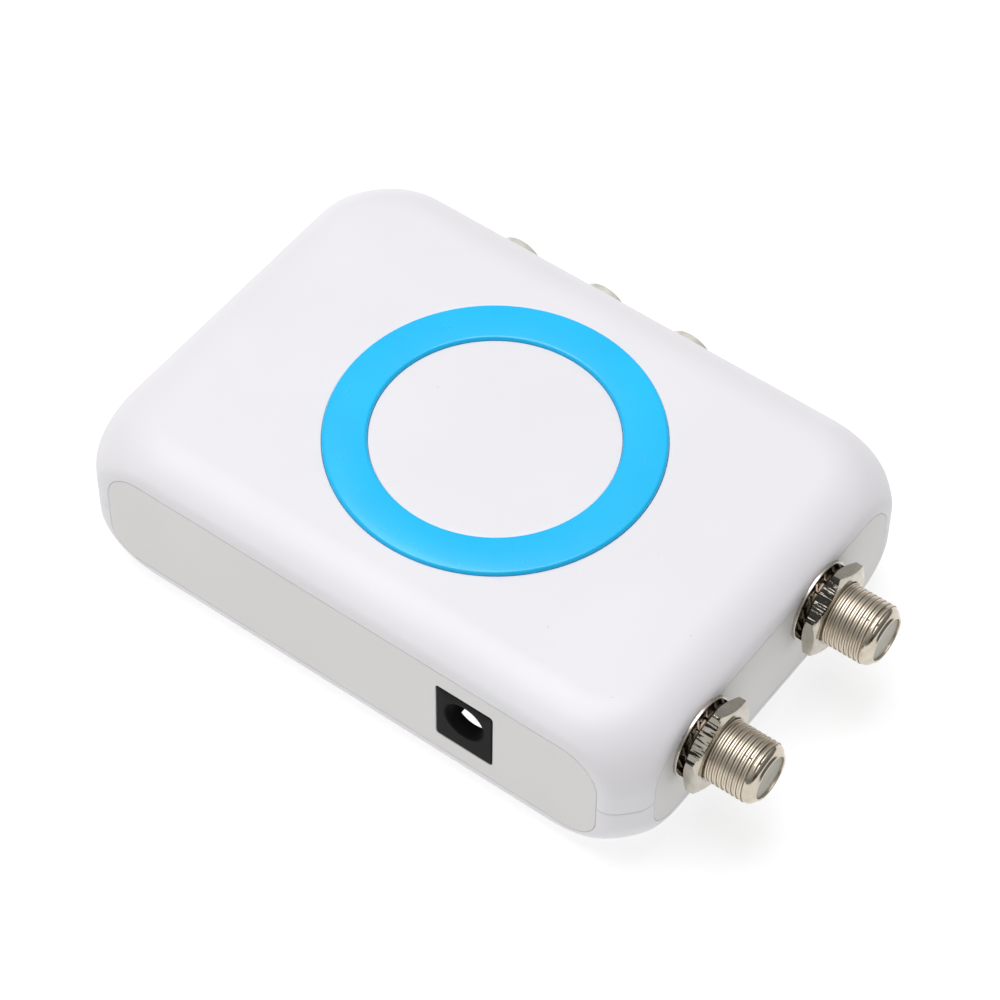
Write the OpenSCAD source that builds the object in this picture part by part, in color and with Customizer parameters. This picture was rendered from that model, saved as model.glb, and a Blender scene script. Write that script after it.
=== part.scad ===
// Pillow-shaped box that puts picture and sound onto a television channel.
// Lengths are in millimetres. The origin is midway between the rubber feet, on the surface they stand on.
// The long sides face -Y (front) and +Y (rear), the aerial sockets face +X.

/* [Case] */
// Length of the case from end to end
body_length = 102; // [98:0.5:120]
// Depth of the case from front to rear
body_depth = 74.6; // [73:0.1:90]
// Height of the case without its feet
body_height = 26; // [25.5:0.1:32]
// Radius of the four upright corners, seen from above
corner_radius = 16; // [14.5:0.1:17]
// Radius of the top edges
top_edge_radius = 10.4; // [9:0.1:11.5]
// Radius of the bottom edges
bottom_edge_radius = 9.5; // [8:0.1:10.5]
// How far the flats on the two ends cut into the rounded form
end_flat_inset = 2.5; // [2.2:0.1:3]
// How far the flats on the front and rear cut into the rounded form
side_flat_inset = 3.1; // [2.8:0.1:3.6]
// Thickness of the shell walls
wall = 2; // [1.8:0.1:2.3]
// Height of the seam between the two shells above the underside
seam_height = 12.4; // [11:0.1:14]
// Height of the locating lip along the seam
lip_height = 1.4; // [1:0.1:2]
// Clearance round the locating lip
lip_gap = 0.1; // [0.05:0.05:0.2]

/* [Panels] */
// Length of the front and rear panels
front_panel_length = 85.6; // [84:0.1:87]
// Length of the two end panels
end_panel_length = 56.8; // [54:0.1:58]
// Width of the strip of flat left above and below each panel
panel_margin = 1.5; // [1.4:0.1:1.8]
// Radius of the upper panel corners
panel_top_corner = 6; // [4:0.1:7]
// Radius of the lower panel corners
panel_low_corner = 5; // [4:0.1:6.5]
// Groove between a panel and the shells
panel_gap = 0.2; // [0.1:0.05:0.3]
// How far the retaining flange stands out behind the shells
flange_reach = 1; // [0.6:0.1:1.1]
// Thickness of the retaining flange
flange_thickness = 1.2; // [1:0.1:1.5]

/* [Accent ring] */
// Outer diameter of the ring
ring_outer_diameter = 48.9; // [44:0.1:52]
// Inner diameter of the ring
ring_inner_diameter = 36; // [32:0.1:40]
// How far the ring lies behind the middle of the case
ring_shift = 0.5; // [0:0.1:1]
// How far the ring stands out of the top
ring_proud = 0.55; // [0.3:0.05:0.9]
// Depth of the seat that the ring lies in
ring_seat_depth = 0.8; // [0.5:0.1:1.1]
// Radius of the ring's rounded shoulders
ring_shoulder = 0.5; // [0.3:0.05:0.6]
// Clearance between the ring and its seat
ring_gap = 0.08; // [0.05:0.01:0.15]
// Diameter of the pegs that hold the ring
ring_peg_diameter = 2; // [1.5:0.1:2.5]
// Number of pegs
ring_peg_count = 6; // [4:1:8]

/* [Aerial sockets] */
// Height of the socket axes above the underside of the case
aerial_height = 16.25; // [15.5:0.05:16.3]
// Distance between the two socket axes, as a share of the case's depth
aerial_spacing_share = 0.384; // [0.37:0.001:0.39]
// Space between the screening can's lid and the front screw boss, which sets the front socket's place
can_side_space = 0.375; // [0.2:0.005:0.5]
// Outer diameter of the thread
thread_diameter = 9.5; // [9.4:0.01:9.6]
// Diameter at which the thread engages
thread_core_diameter = 8.9; // [8.7:0.05:9.1]
// How far a socket stands out of the panel
aerial_reach = 11.6; // [10:0.1:14]
// Length of the smooth nose at the end of the thread
nose_length = 1.7; // [1.2:0.1:2.2]
// Diameter of the end face
nose_diameter = 7.2; // [6.8:0.1:8.6]
// Diameter of the opening in the end face
end_opening_diameter = 5.9; // [2.4:0.1:6]
// Diameter of the flange inside the screening can
aerial_flange_diameter = 10; // [9.8:0.1:10.2]
// Thickness of that flange
aerial_flange_thickness = 1.2; // [1:0.1:1.6]
// Clearance of the thread in the panel
aerial_hole_gap = 0.2; // [0.1:0.05:0.3]
// Diameter of the hole for the plug's centre wire
aerial_pin_bore = 1.2; // [1:0.1:1.4]
// Wall of the centre contact
aerial_contact_wall = 0.35; // [0.25:0.05:0.45]
// Diameter of the flat washer
washer_diameter = 12.6; // [12:0.1:13.2]
// Thickness of the flat washer
washer_thickness = 0.5; // [0.4:0.05:0.7]
// Outer diameter of the toothed lock washer
lock_diameter = 12; // [11.4:0.1:12.2]
// Diameter of the lock washer's ring, inside its teeth
lock_ring_diameter = 10.7; // [10.4:0.1:11]
// Thickness of the lock washer's sheet
lock_sheet = 0.45; // [0.35:0.05:0.5]
// Width of one tooth
lock_tooth_width = 1.3; // [1:0.05:1.35]
// Twist of a tooth
lock_tooth_twist = 34; // [25:1:36]
// Number of teeth
lock_tooth_count = 18; // [12:1:18]
// Width of the nut across its flats
nut_across_flats = 12.7; // [12:0.1:13.2]
// Thickness of the nut
nut_thickness = 2.2; // [2:0.1:2.6]
// Turn of the front nut
front_nut_turn = 4; // [0:1:59]
// Turn of the rear nut
rear_nut_turn = 1; // [0:1:59]

/* [Power socket] */
// Distance of the socket from the middle of the front, towards the right, as a share of the case's length
jack_place_share = 0.202; // [0.19:0.001:0.21]
// Width of the socket body
jack_width = 9.5; // [9:0.1:10]
// Height of the socket body
jack_height = 11; // [10.6:0.1:11.2]
// Depth of the socket body
jack_depth = 14.2; // [13:0.1:14.6]
// Diameter of the plug hole
jack_bore = 6.5; // [6.3:0.05:6.6]
// Depth of the plug hole
jack_bore_depth = 10; // [9:0.1:11]
// Height of the plug hole's axis above the circuit board
jack_axis_height = 6.2; // [5.8:0.1:6.4]
// Diameter of the centre pin
jack_pin_diameter = 2.1; // [2:0.05:2.2]
// How far the pin's tip stays behind the face
jack_pin_recess = 2.4; // [0.8:0.1:3]
// Clearance of the socket in the panel
jack_gap = 0.15; // [0.1:0.05:0.25]

/* [Phono sockets] */
// Height of the socket axes above the underside of the case
phono_height = 13; // [12.8:0.1:13.6]
// Distance between neighbouring sockets, as a share of the case's length
phono_spacing_share = 0.1515; // [0.14:0.0005:0.155]
// Distance of the middle socket from the middle of the rear, to the left, as a share of the case's length
phono_shift_share = 0.0825; // [0.08:0.0005:0.09]
// Outer diameter of a sleeve
sleeve_diameter = 8.3; // [8:0.05:8.4]
// Wall of a sleeve
sleeve_wall = 0.4; // [0.3:0.05:0.5]
// How far a sleeve stands out of the panel
sleeve_reach = 5.2; // [5:0.1:8]
// Diameter of the collar at a sleeve's root
collar_diameter = 8.9; // [8.8:0.05:9.1]
// Clearance of the collar in the panel
collar_gap = 0.1; // [0.05:0.05:0.2]
// Diameter of the hole for the plug's pin
phono_pin_bore = 3.2; // [3.1:0.05:3.3]
// Wall of the centre contact
phono_contact_wall = 0.35; // [0.3:0.05:0.5]
// Width of the socket block beyond the outer sockets' axes
phono_block_end = 6; // [5.5:0.1:6.5]
// Depth of the socket block
phono_block_depth = 11.5; // [10:0.1:12]
// Height of the socket block above the circuit board
phono_block_height = 11.4; // [10.8:0.1:11.8]

/* [Channel switch] */
// Distance of the switch from the middle of the rear, towards the right, as a share of the case's length
switch_place_share = 0.235; // [0.23:0.001:0.245]
// Travel of the actuator
switch_travel = 2; // [1.5:0.1:2.2]
// Width of the switch case
switch_width = 8.6; // [8.4:0.1:9]
// Height of the switch case
switch_height = 5; // [4.8:0.1:5.4]
// Depth of the switch case
switch_depth = 5.4; // [5:0.1:6]
// Wall of the switch case
switch_wall = 0.5; // [0.4:0.05:0.6]
// Width of the actuator's knob
knob_width = 2.6; // [2.2:0.1:2.8]
// Height of the actuator's knob
knob_height = 2.4; // [2:0.1:2.6]
// How far the knob stands out of the panel
knob_reach = 1.5; // [1:0.1:2]
// Running clearance round the actuator
knob_gap = 0.15; // [0.1:0.05:0.2]
// Clearance between the knob and the edges of its slot
slot_gap = 0.4; // [0.3:0.05:0.5]
// Number of grip grooves across the knob
knob_groove_count = 3; // [2:1:4]

/* [Circuit board] */
// Height of the board's upper face above the underside of the case
board_top = 7.3; // [7.2:0.05:7.5]
// Thickness of the board
board_thickness = 1.6; // [1.4:0.1:1.7]
// Gap between the board and the end and side panels
board_gap = 0.3; // [0.2:0.05:0.5]
// Clearance between the board and the screw bosses
notch_gap = 0.3; // [0.2:0.05:0.5]
// Diameter of the posts that carry the board
post_diameter = 5; // [4.6:0.1:5.6]
// Shank diameter of the board screws
board_screw_diameter = 2.5; // [2.2:0.1:2.8]
// Head diameter of the board screws
board_screw_head = 4.8; // [4.4:0.1:5.2]
// Head height of the board screws
board_screw_head_height = 1.6; // [1.4:0.1:1.8]
// Length of the board screws' shanks
board_screw_length = 4.6; // [4.2:0.1:4.8]

/* [Screening can] */
// Length of the can, from the right panel inwards, as a share of the case's length
can_length_share = 0.165; // [0.16:0.001:0.17]
// Height of the can above the board
can_height = 14.6; // [14.5:0.05:14.7]
// Thickness of the can's sheet
can_sheet = 0.4; // [0.3:0.05:0.5]
// Depth of the lid's folded rim
lid_rim = 3; // [2:0.1:5]

/* [Case screws] */
// Distance of the screws from the ends of the case
screw_end_inset = 13; // [12.6:0.1:13.4]
// Distance of the screws from the front and rear of the case
screw_side_inset = 10; // [9.9:0.1:10.1]
// Outer diameter of the screw bosses
boss_diameter = 5.8; // [5.6:0.1:6]
// Shank diameter of the screws
screw_diameter = 2.6; // [2.4:0.1:2.8]
// Head diameter of the screws
screw_head = 4.6; // [4.2:0.1:4.6]
// Head height of the screws
screw_head_height = 1.8; // [1.5:0.1:2]
// Length of the screws' shanks
screw_length = 14; // [12:0.5:14]
// Depth of the pockets for the screw heads
screw_pocket_depth = 3.4; // [3:0.1:4]

/* [Feet] */
// Diameter of the rubber feet
foot_diameter = 9; // [7:0.1:10]
// How far the feet stand out of the underside
foot_proud = 0.8; // [0.5:0.1:1.2]
// Depth of the seats for the feet
foot_seat_depth = 0.5; // [0.3:0.1:0.8]
// Distance of the feet from the ends of the case
foot_end_inset = 19; // [17:0.5:24]
// Distance of the feet from the front and rear of the case
foot_side_inset = 19; // [17:0.5:22]

/* [Hidden] */

// Overrun of cuts past the faces that they open
over = 1;
// Steps of a full circle on screen
$fn = 72;

// Planes of the case, seen from its middle
end_plane = body_length / 2 - end_flat_inset;
side_plane = body_depth / 2 - side_flat_inset;
panel_back = wall + flange_thickness;
floor_top = wall;

// Height at which the rounded top edge meets a flat that lies a given inset inside the form
function flat_top(inset) = body_height - top_edge_radius
    + sqrt(pow(top_edge_radius, 2) - pow(top_edge_radius - inset, 2));
// Height at which the rounded bottom edge meets the same flat
function flat_low(inset) = bottom_edge_radius
    - sqrt(pow(bottom_edge_radius, 2) - pow(bottom_edge_radius - inset, 2));

// Case screws
screw_x = body_length / 2 - screw_end_inset;
screw_y = body_depth / 2 - screw_side_inset;

// Aerial sockets, measured from the middle of the case; the front one clears the screw boss beside the can
aerial_front = can_side_space + 2 * can_sheet + aerial_flange_diameter / 2 + boss_diameter / 2 - screw_y;
aerial_places = [aerial_front, aerial_front + aerial_spacing_share * body_depth];
nut_turns = [front_nut_turn, rear_nut_turn];
washer_out = end_plane + washer_thickness;
lock_thickness = lock_tooth_width * sin(lock_tooth_twist) + lock_sheet * cos(lock_tooth_twist);
nut_back = washer_out + lock_thickness;
nut_front = nut_back + nut_thickness;
nut_face_share = 0.96;
nut_chamfer_angle = 25;
aerial_tip = end_plane + aerial_reach;
can_face = end_plane - panel_back;
can_length = can_length_share * body_length;
can_back = can_face - can_length;
can_front_end = aerial_places[0] - aerial_flange_diameter / 2 - can_sheet;
can_rear_end = aerial_places[1] + aerial_flange_diameter / 2 + can_sheet;
can_top = board_top + can_height;
aerial_flange_face = can_face - can_sheet;
aerial_stub_length = 2.4;
aerial_stub_diameter = 7;
aerial_leg_diameter = 1;
aerial_bore_diameter = 6.2;
aerial_pin_depth = 8;
end_wall = 0.5;

// Power socket
jack_place = jack_place_share * body_length;
jack_face = -side_plane;
jack_axis = board_top + jack_axis_height;
jack_front_depth = 3.5;
jack_tail_drop = 1.2;
spring_width = 2.2;
spring_sheet = 0.35;
spring_share = 0.6;
spring_length = spring_share * jack_depth;
spring_low = jack_axis - jack_bore / 2 - spring_sheet;
terminal_width = 2.4;
terminal_sheet = 0.8;

// Phono sockets, from left to right
phono_spacing = phono_spacing_share * body_length;
phono_shift = phono_shift_share * body_length;
phono_places = [for (k = [-1:1]) k * phono_spacing - phono_shift];
phono_front = side_plane - panel_back;
phono_back = phono_front - phono_block_depth;
phono_bore_depth = 4;
sleeve_tip = side_plane + sleeve_reach;
sleeve_root = phono_front - phono_bore_depth;
insulator_recess = 0.7;
contact_recess = 0.5;
block_edge = 0.8;
block_notch_depth = 3;
block_notch_height = 4;

// Channel switch
switch_place = switch_place_share * body_length;
switch_face = side_plane - panel_back;
switch_axis = board_top + switch_height / 2;
slider_block_width = switch_width - 2 * switch_wall - switch_travel - 2 * knob_gap;
slider_block_height = switch_height - 2 * switch_wall - 2 * knob_gap;
slider_block_depth = 2.6;
slot_width = knob_width + switch_travel + 2 * slot_gap;
slot_height = knob_height + 2 * slot_gap;
knob_groove_width = 0.35;
knob_groove_depth = 0.3;
knob_round = 0.4;

// Circuit board
board_right = can_face;
board_left = board_gap - (end_plane - panel_back);
board_side = side_plane - panel_back - board_gap;
board_low = board_top - board_thickness;
notch_x = screw_x - boss_diameter / 2 - notch_gap;
notch_y = screw_y - boss_diameter / 2 - notch_gap;
// Board posts as shares of the half board, along and across
post_shares = [[-0.86, -0.5], [-0.86, 0.5], [0.4, 0.3], [0.16, -0.8]];
post_places = [for (s = post_shares) [s[0] * end_plane, s[1] * side_plane]];

// Case screws and feet
screw_head_seat = screw_pocket_depth;
screw_places = [for (sx = [-1, 1], sy = [-1, 1]) [sx * screw_x, sy * screw_y]];
foot_x = body_length / 2 - foot_end_inset;
foot_y = body_depth / 2 - foot_side_inset;
foot_places = [for (sx = [-1, 1], sy = [-1, 1]) [sx * foot_x, sy * foot_y]];
foot_round = 0.4;
pocket_gap = 0.2;
rib_width = 1;
rib_height = 1.6;
gusset_width = 1;
gusset_reach = 2.4;
cross_depth = 0.7;
cross_width = 0.7;
head_round_share = 0.35;

// Lifts what is built on the underside of the case onto its feet
module on_feet() {
    translate([0, 0, foot_proud]) children();
}

// Turns what is built round the Z axis so that it points towards +X
module along_x() {
    rotate([0, 90, 0]) children();
}

// Turns what is built round the Z axis so that it points towards +Y
module along_y() {
    rotate([-90, 0, 0]) children();
}

// Ring or disc round the Z axis
module tube(outer, inner, low, high) {
    difference() {
        translate([0, 0, low]) cylinder(d = outer, h = high - low);
        if (inner > 0) translate([0, 0, low - over]) cylinder(d = inner, h = high - low + 2 * over);
    }
}

// Half of an upright section of the rounded form, from its middle out to the given reach
module half_section(reach, height, top_r, low_r) {
    translate([0, low_r]) square([reach, height - low_r - top_r]);
    square([reach - low_r, height - top_r]);
    translate([0, low_r]) square([reach - top_r, height - low_r]);
    intersection() {
        square([reach, height]);
        union() {
            translate([reach - top_r, height - top_r]) circle(r = top_r);
            translate([reach - low_r, low_r]) circle(r = low_r);
        }
    }
}

module full_section(width, height, top_r, low_r) {
    half_section(width / 2, height, top_r, low_r);
    mirror([1, 0]) half_section(width / 2, height, top_r, low_r);
}

// The case as one solid with rounded edges and corners, all its faces moved inwards by inset
module pillow(inset) {
    length = body_length - 2 * inset;
    depth = body_depth - 2 * inset;
    height = body_height - 2 * inset;
    corner = corner_radius - inset;
    top_r = top_edge_radius - inset;
    low_r = bottom_edge_radius - inset;
    translate([0, 0, inset]) {
        rotate([90, 0, 90]) linear_extrude(length - 2 * corner, center = true)
            full_section(depth, height, top_r, low_r);
        rotate([90, 0, 0]) linear_extrude(depth - 2 * corner, center = true)
            full_section(length, height, top_r, low_r);
        for (mx = [0, 1], my = [0, 1])
            mirror([mx, 0, 0]) mirror([0, my, 0])
                translate([length / 2 - corner, depth / 2 - corner, 0])
                    rotate_extrude(angle = 90) half_section(corner, height, top_r, low_r);
    }
}

// The rounded form with the four flats cut on it
module case_form(inset) {
    length = 2 * (end_plane - inset);
    depth = 2 * (side_plane - inset);
    intersection() {
        pillow(inset);
        translate([-length / 2, -depth / 2, 0]) cube([length, depth, body_height]);
    }
}

// Outline of a panel, following the flat that it lies in, grown by the given amount
module panel_outline(length, inset, grow) {
    half = length / 2 + grow;
    low = flat_low(inset) + panel_margin - grow;
    high = flat_top(inset) - panel_margin + grow;
    top_r = panel_top_corner + grow;
    low_r = panel_low_corner + grow;
    translate([0, low]) full_section(2 * half, high - low, top_r, low_r);
}

// Flush plate and retaining flange of a panel, its face on the plane Y = 0 and its back towards +Y
module panel_blank(length, inset, grow, slack) {
    rotate([90, 0, 0]) translate([0, 0, -wall]) linear_extrude(wall)
        panel_outline(length, inset, grow);
    rotate([90, 0, 0]) translate([0, 0, -panel_back - slack]) linear_extrude(flange_thickness + slack)
        panel_outline(length, inset, flange_reach + grow);
}

// Puts a panel that is built on the plane Y = 0 onto one side of the case
module on_front() {
    translate([0, -side_plane, 0]) children();
}

module on_rear() {
    translate([0, side_plane, 0]) rotate([0, 0, 180]) children();
}

module on_right() {
    translate([end_plane, 0, 0]) rotate([0, 0, 90]) children();
}

module on_left() {
    translate([-end_plane, 0, 0]) rotate([0, 0, -90]) children();
}

// Cuts that the panels need in the shells
module panel_cuts() {
    on_front() panel_slot(front_panel_length, side_flat_inset);
    on_rear() panel_slot(front_panel_length, side_flat_inset);
    on_right() panel_slot(end_panel_length, end_flat_inset);
    on_left() panel_slot(end_panel_length, end_flat_inset);
}

module panel_slot(length, inset) {
    rotate([90, 0, 0]) translate([0, 0, -wall]) linear_extrude(wall + over)
        panel_outline(length, inset, panel_gap);
    rotate([90, 0, 0]) translate([0, 0, -panel_back - panel_gap]) linear_extrude(flange_thickness + panel_gap)
        panel_outline(length, inset, flange_reach + panel_gap);
}

// Slab of the given heights, wider than the case
module slab(low, high) {
    translate([-body_length, -body_depth, low]) cube([2 * body_length, 2 * body_depth, high - low]);
}

// Locating lip of the lower shell, standing in the upper shell's wall
module seam_lip(slack) {
    intersection() {
        difference() {
            case_form(wall / 2 - slack);
            case_form(wall);
        }
        slab(seam_height - over, seam_height + lip_height + slack);
    }
}

// Shells
module upper_shell() {
    color("white") on_feet() difference() {
        union() {
            difference() {
                intersection() {
                    case_form(0);
                    slab(seam_height, body_height + over);
                }
                intersection() {
                    case_form(wall);
                    slab(0, body_height);
                }
                seam_lip(lip_gap);
            }
            intersection() {
                case_form(wall / 2);
                union() {
                    for (p = screw_places) translate([p[0], p[1], seam_height])
                        cylinder(d = boss_diameter, h = body_height - seam_height);
                    ceiling_ribs();
                }
            }
        }
        panel_cuts();
        for (p = screw_places) translate([p[0], p[1], seam_height - over])
            cylinder(d = screw_diameter, h = screw_head_seat + screw_length - seam_height + over);
        translate([0, ring_shift, body_height - ring_seat_depth])
            tube(ring_outer_diameter + 2 * ring_gap, ring_inner_diameter - 2 * ring_gap,
                0, ring_seat_depth + over);
        ring_pegs(ring_gap, over);
    }
}

// Ribs that stiffen the ceiling of the upper shell
module ceiling_ribs() {
    span_x = 2 * (ring_outer_diameter / 2 + rib_width);
    for (s = [-1, 1]) {
        translate([-span_x / 2, s * ring_outer_diameter / 2 - rib_width / 2, body_height - wall - rib_height])
            cube([span_x, rib_width, wall + rib_height]);
        translate([s * span_x / 2 - rib_width / 2, -ring_outer_diameter / 2, body_height - wall - rib_height])
            cube([rib_width, ring_outer_diameter, wall + rib_height]);
    }
}

module lower_shell() {
    color("white") on_feet() difference() {
        union() {
            difference() {
                intersection() {
                    case_form(0);
                    slab(-over, seam_height);
                }
                case_form(wall);
            }
            seam_lip(0);
            intersection() {
                case_form(wall / 2);
                union() {
                    for (p = screw_places) translate([p[0], p[1], 0])
                        cylinder(d = boss_diameter, h = seam_height);
                    for (p = post_places) {
                        translate([p[0], p[1], 0]) cylinder(d = post_diameter, h = board_low);
                        post_gussets(p);
                    }
                }
            }
        }
        panel_cuts();
        for (p = screw_places) translate([p[0], p[1], -over]) {
            cylinder(d = screw_head + 2 * pocket_gap, h = screw_pocket_depth + over);
            cylinder(d = screw_diameter + 2 * pocket_gap, h = seam_height + lip_height + 2 * over);
        }
        for (p = post_places) translate([p[0], p[1], board_top - board_screw_length])
            cylinder(d = board_screw_diameter, h = board_screw_length + over);
        for (p = foot_places) translate([p[0], p[1], -over])
            cylinder(d = foot_diameter + 2 * pocket_gap, h = foot_seat_depth + over);
    }
}

// Gussets round a board post, on the floor of the lower shell
module post_gussets(p) {
    for (turn = [0, 90])
        translate([p[0], p[1], 0]) rotate([0, 0, turn])
            translate([-post_diameter / 2 - gusset_reach, -gusset_width / 2, 0])
                cube([post_diameter + 2 * gusset_reach, gusset_width, (floor_top + board_low) / 2]);
}

// Panels
module front_panel() {
    color("gainsboro") on_feet() on_front() difference() {
        panel_blank(front_panel_length, side_flat_inset, 0, 0);
        translate([jack_place - jack_width / 2 - jack_gap, -over, board_top - jack_gap])
            cube([jack_width + 2 * jack_gap, panel_back + 2 * over, jack_height + 2 * jack_gap]);
    }
}

module rear_panel() {
    color("gainsboro") on_feet() difference() {
        on_rear() panel_blank(front_panel_length, side_flat_inset, 0, 0);
        for (x = phono_places) translate([x, phono_front - over, phono_height]) along_y()
            cylinder(d = collar_diameter + 2 * collar_gap, h = panel_back + 2 * over);
        translate([switch_place - slot_width / 2, switch_face - over, switch_axis - slot_height / 2])
            cube([slot_width, panel_back + 2 * over, slot_height]);
    }
}

module right_panel() {
    color("gainsboro") on_feet() difference() {
        on_right() panel_blank(end_panel_length, end_flat_inset, 0, 0);
        for (y = aerial_places) translate([can_face - over, y, aerial_height]) along_x()
            cylinder(d = thread_core_diameter + 2 * aerial_hole_gap, h = panel_back + 2 * over);
    }
}

module left_panel() {
    color("gainsboro") on_feet() on_left() panel_blank(end_panel_length, end_flat_inset, 0, 0);
}

// Accent ring with rounded shoulders and pegs into the upper shell
module accent_ring() {
    inner = ring_inner_diameter / 2;
    outer = ring_outer_diameter / 2;
    height = ring_seat_depth + ring_proud;
    color("deepskyblue") on_feet() {
        translate([0, ring_shift, body_height - ring_seat_depth]) rotate_extrude() {
            translate([inner, 0]) square([outer - inner, height - ring_shoulder]);
            translate([inner + ring_shoulder, 0]) square([outer - inner - 2 * ring_shoulder, height]);
            translate([inner + ring_shoulder, height - ring_shoulder]) circle(r = ring_shoulder);
            translate([outer - ring_shoulder, height - ring_shoulder]) circle(r = ring_shoulder);
        }
        ring_pegs(0, ring_shoulder);
    }
}

// Pegs under the ring, or with slack the holes that they go into
module ring_pegs(slack, above) {
    low = body_height - wall - (slack > 0 ? over + rib_height : 0);
    reach = (ring_outer_diameter + ring_inner_diameter) / 4;
    translate([0, ring_shift, 0]) for (k = [0:ring_peg_count - 1])
        rotate([0, 0, (k + 1 / 2) * 360 / ring_peg_count]) translate([reach, 0, low])
            cylinder(d = ring_peg_diameter + 2 * slack, h = body_height - ring_seat_depth + above - low);
}

module rubber_feet() {
    color("dimgray") for (p = foot_places) translate([p[0], p[1], 0]) rotate_extrude() {
        square([foot_diameter / 2 - foot_round, foot_proud + foot_seat_depth]);
        translate([0, foot_round]) square([foot_diameter / 2, foot_proud + foot_seat_depth - foot_round]);
        translate([foot_diameter / 2 - foot_round, foot_round]) circle(r = foot_round);
    }
}

// Screw along +Z with its head below Z = 0, slotted crosswise
module screw(head, head_height, shank, length) {
    difference() {
        union() {
            rotate_extrude() {
                square_low = -head_height * (1 - head_round_share);
                translate([0, square_low]) square([head / 2, -square_low]);
                polygon([[0, square_low], [head / 2, square_low],
                    [head / 2 * (1 - head_round_share), -head_height], [0, -head_height]]);
            }
            cylinder(d = shank, h = length);
        }
        for (turn = [0, 90]) rotate([0, 0, turn])
            translate([-head / 4, -cross_width / 2, -head_height - over])
                cube([head / 2, cross_width, over + cross_depth]);
    }
}

module case_screws() {
    color("silver") on_feet() for (p = screw_places) translate([p[0], p[1], screw_head_seat])
        screw(screw_head, screw_head_height, screw_diameter, screw_length);
}

module board_screws() {
    color("silver") on_feet() for (p = post_places) translate([p[0], p[1], board_top]) mirror([0, 0, 1])
        screw(board_screw_head, board_screw_head_height, board_screw_diameter, board_screw_length);
}

module circuit_board() {
    color("forestgreen") on_feet() difference() {
        translate([board_left, -board_side, board_low])
            cube([board_right - board_left, 2 * board_side, board_thickness]);
        for (mx = [0, 1], my = [0, 1]) mirror([mx, 0, 0]) mirror([0, my, 0])
            translate([notch_x, notch_y, board_low - over])
                cube([body_length, body_depth, board_thickness + 2 * over]);
        for (p = post_places) translate([p[0], p[1], board_low - over])
            cylinder(d = board_screw_diameter, h = board_thickness + 2 * over);
    }
}

// Aerial sockets
module at_aerials() {
    for (k = [0, 1]) translate([0, aerial_places[k], aerial_height]) along_x() children();
}

// Section of a socket body: flange in the can, shank through the panel, thread, smooth nose and end wall
module aerial_section() {
    core = thread_core_diameter / 2;
    crest = thread_diameter / 2;
    nose = nose_diameter / 2;
    bore = aerial_bore_diameter / 2;
    nose_back = aerial_tip - nose_length;
    flange_back = aerial_flange_face - aerial_flange_thickness;
    stub_back = flange_back - aerial_stub_length;
    nose_curve = (pow(crest - nose, 2) + pow(nose_length, 2)) / (crest - nose) / 2;
    polygon([[bore, stub_back], [aerial_stub_diameter / 2, stub_back],
        [aerial_stub_diameter / 2, flange_back], [aerial_flange_diameter / 2, flange_back],
        [aerial_flange_diameter / 2, aerial_flange_face], [core, aerial_flange_face],
        [core, nut_front], [crest, nut_front], [crest, nose_back], [nose, aerial_tip],
        [end_opening_diameter / 2, aerial_tip], [end_opening_diameter / 2, aerial_tip - end_wall],
        [bore, aerial_tip - end_wall]]);
    intersection() {
        translate([crest - nose_curve, nose_back]) circle(r = nose_curve);
        translate([bore, nose_back]) square([crest - bore, nose_length]);
        translate([end_opening_diameter / 2, nose_back]) square([crest, nose_length]);
    }
}

module aerial_bodies() {
    color("silver") on_feet() at_aerials() rotate_extrude() aerial_section();
}

module aerial_insulators() {
    back = aerial_flange_face - aerial_flange_thickness - aerial_stub_length;
    contact = aerial_pin_bore + 2 * aerial_contact_wall;
    color("whitesmoke") on_feet() at_aerials() {
        tube(aerial_bore_diameter, contact, back, aerial_tip - end_wall);
        tube(end_opening_diameter, contact, aerial_tip - end_wall, aerial_tip - end_wall / 2);
    }
}

module aerial_contacts() {
    contact = aerial_pin_bore + 2 * aerial_contact_wall;
    back = aerial_flange_face - aerial_flange_thickness - aerial_stub_length;
    tail = back - aerial_leg_diameter;
    color("goldenrod") on_feet() {
        at_aerials() {
            tube(contact, aerial_pin_bore, aerial_tip - aerial_pin_depth, aerial_tip - end_wall);
            tube(contact, 0, tail, aerial_tip - aerial_pin_depth);
        }
        for (y = aerial_places) translate([tail + aerial_leg_diameter / 2, y, board_top])
            cylinder(d = aerial_leg_diameter, h = aerial_height - board_top);
    }
}

module flat_washers() {
    color("gainsboro") on_feet() at_aerials()
        tube(washer_diameter, thread_core_diameter + aerial_hole_gap, end_plane, washer_out);
}

// Lock washer: a sheet ring with twisted teeth round it
module lock_washers() {
    middle = washer_out + lock_thickness / 2;
    tooth = (lock_diameter - lock_ring_diameter) / 2;
    color("darkgray") on_feet() at_aerials() {
        tube(lock_ring_diameter, thread_core_diameter + aerial_hole_gap,
            middle - lock_sheet / 2, middle + lock_sheet / 2);
        for (k = [0:lock_tooth_count - 1])
            translate([0, 0, middle]) rotate([0, 0, k * 360 / lock_tooth_count])
                translate([lock_ring_diameter / 2 - tooth / 2, 0, 0]) rotate([lock_tooth_twist, 0, 0])
                    translate([0, -lock_tooth_width / 2, -lock_sheet / 2])
                        cube([3 * tooth / 2, lock_tooth_width, lock_sheet]);
    }
}

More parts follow.
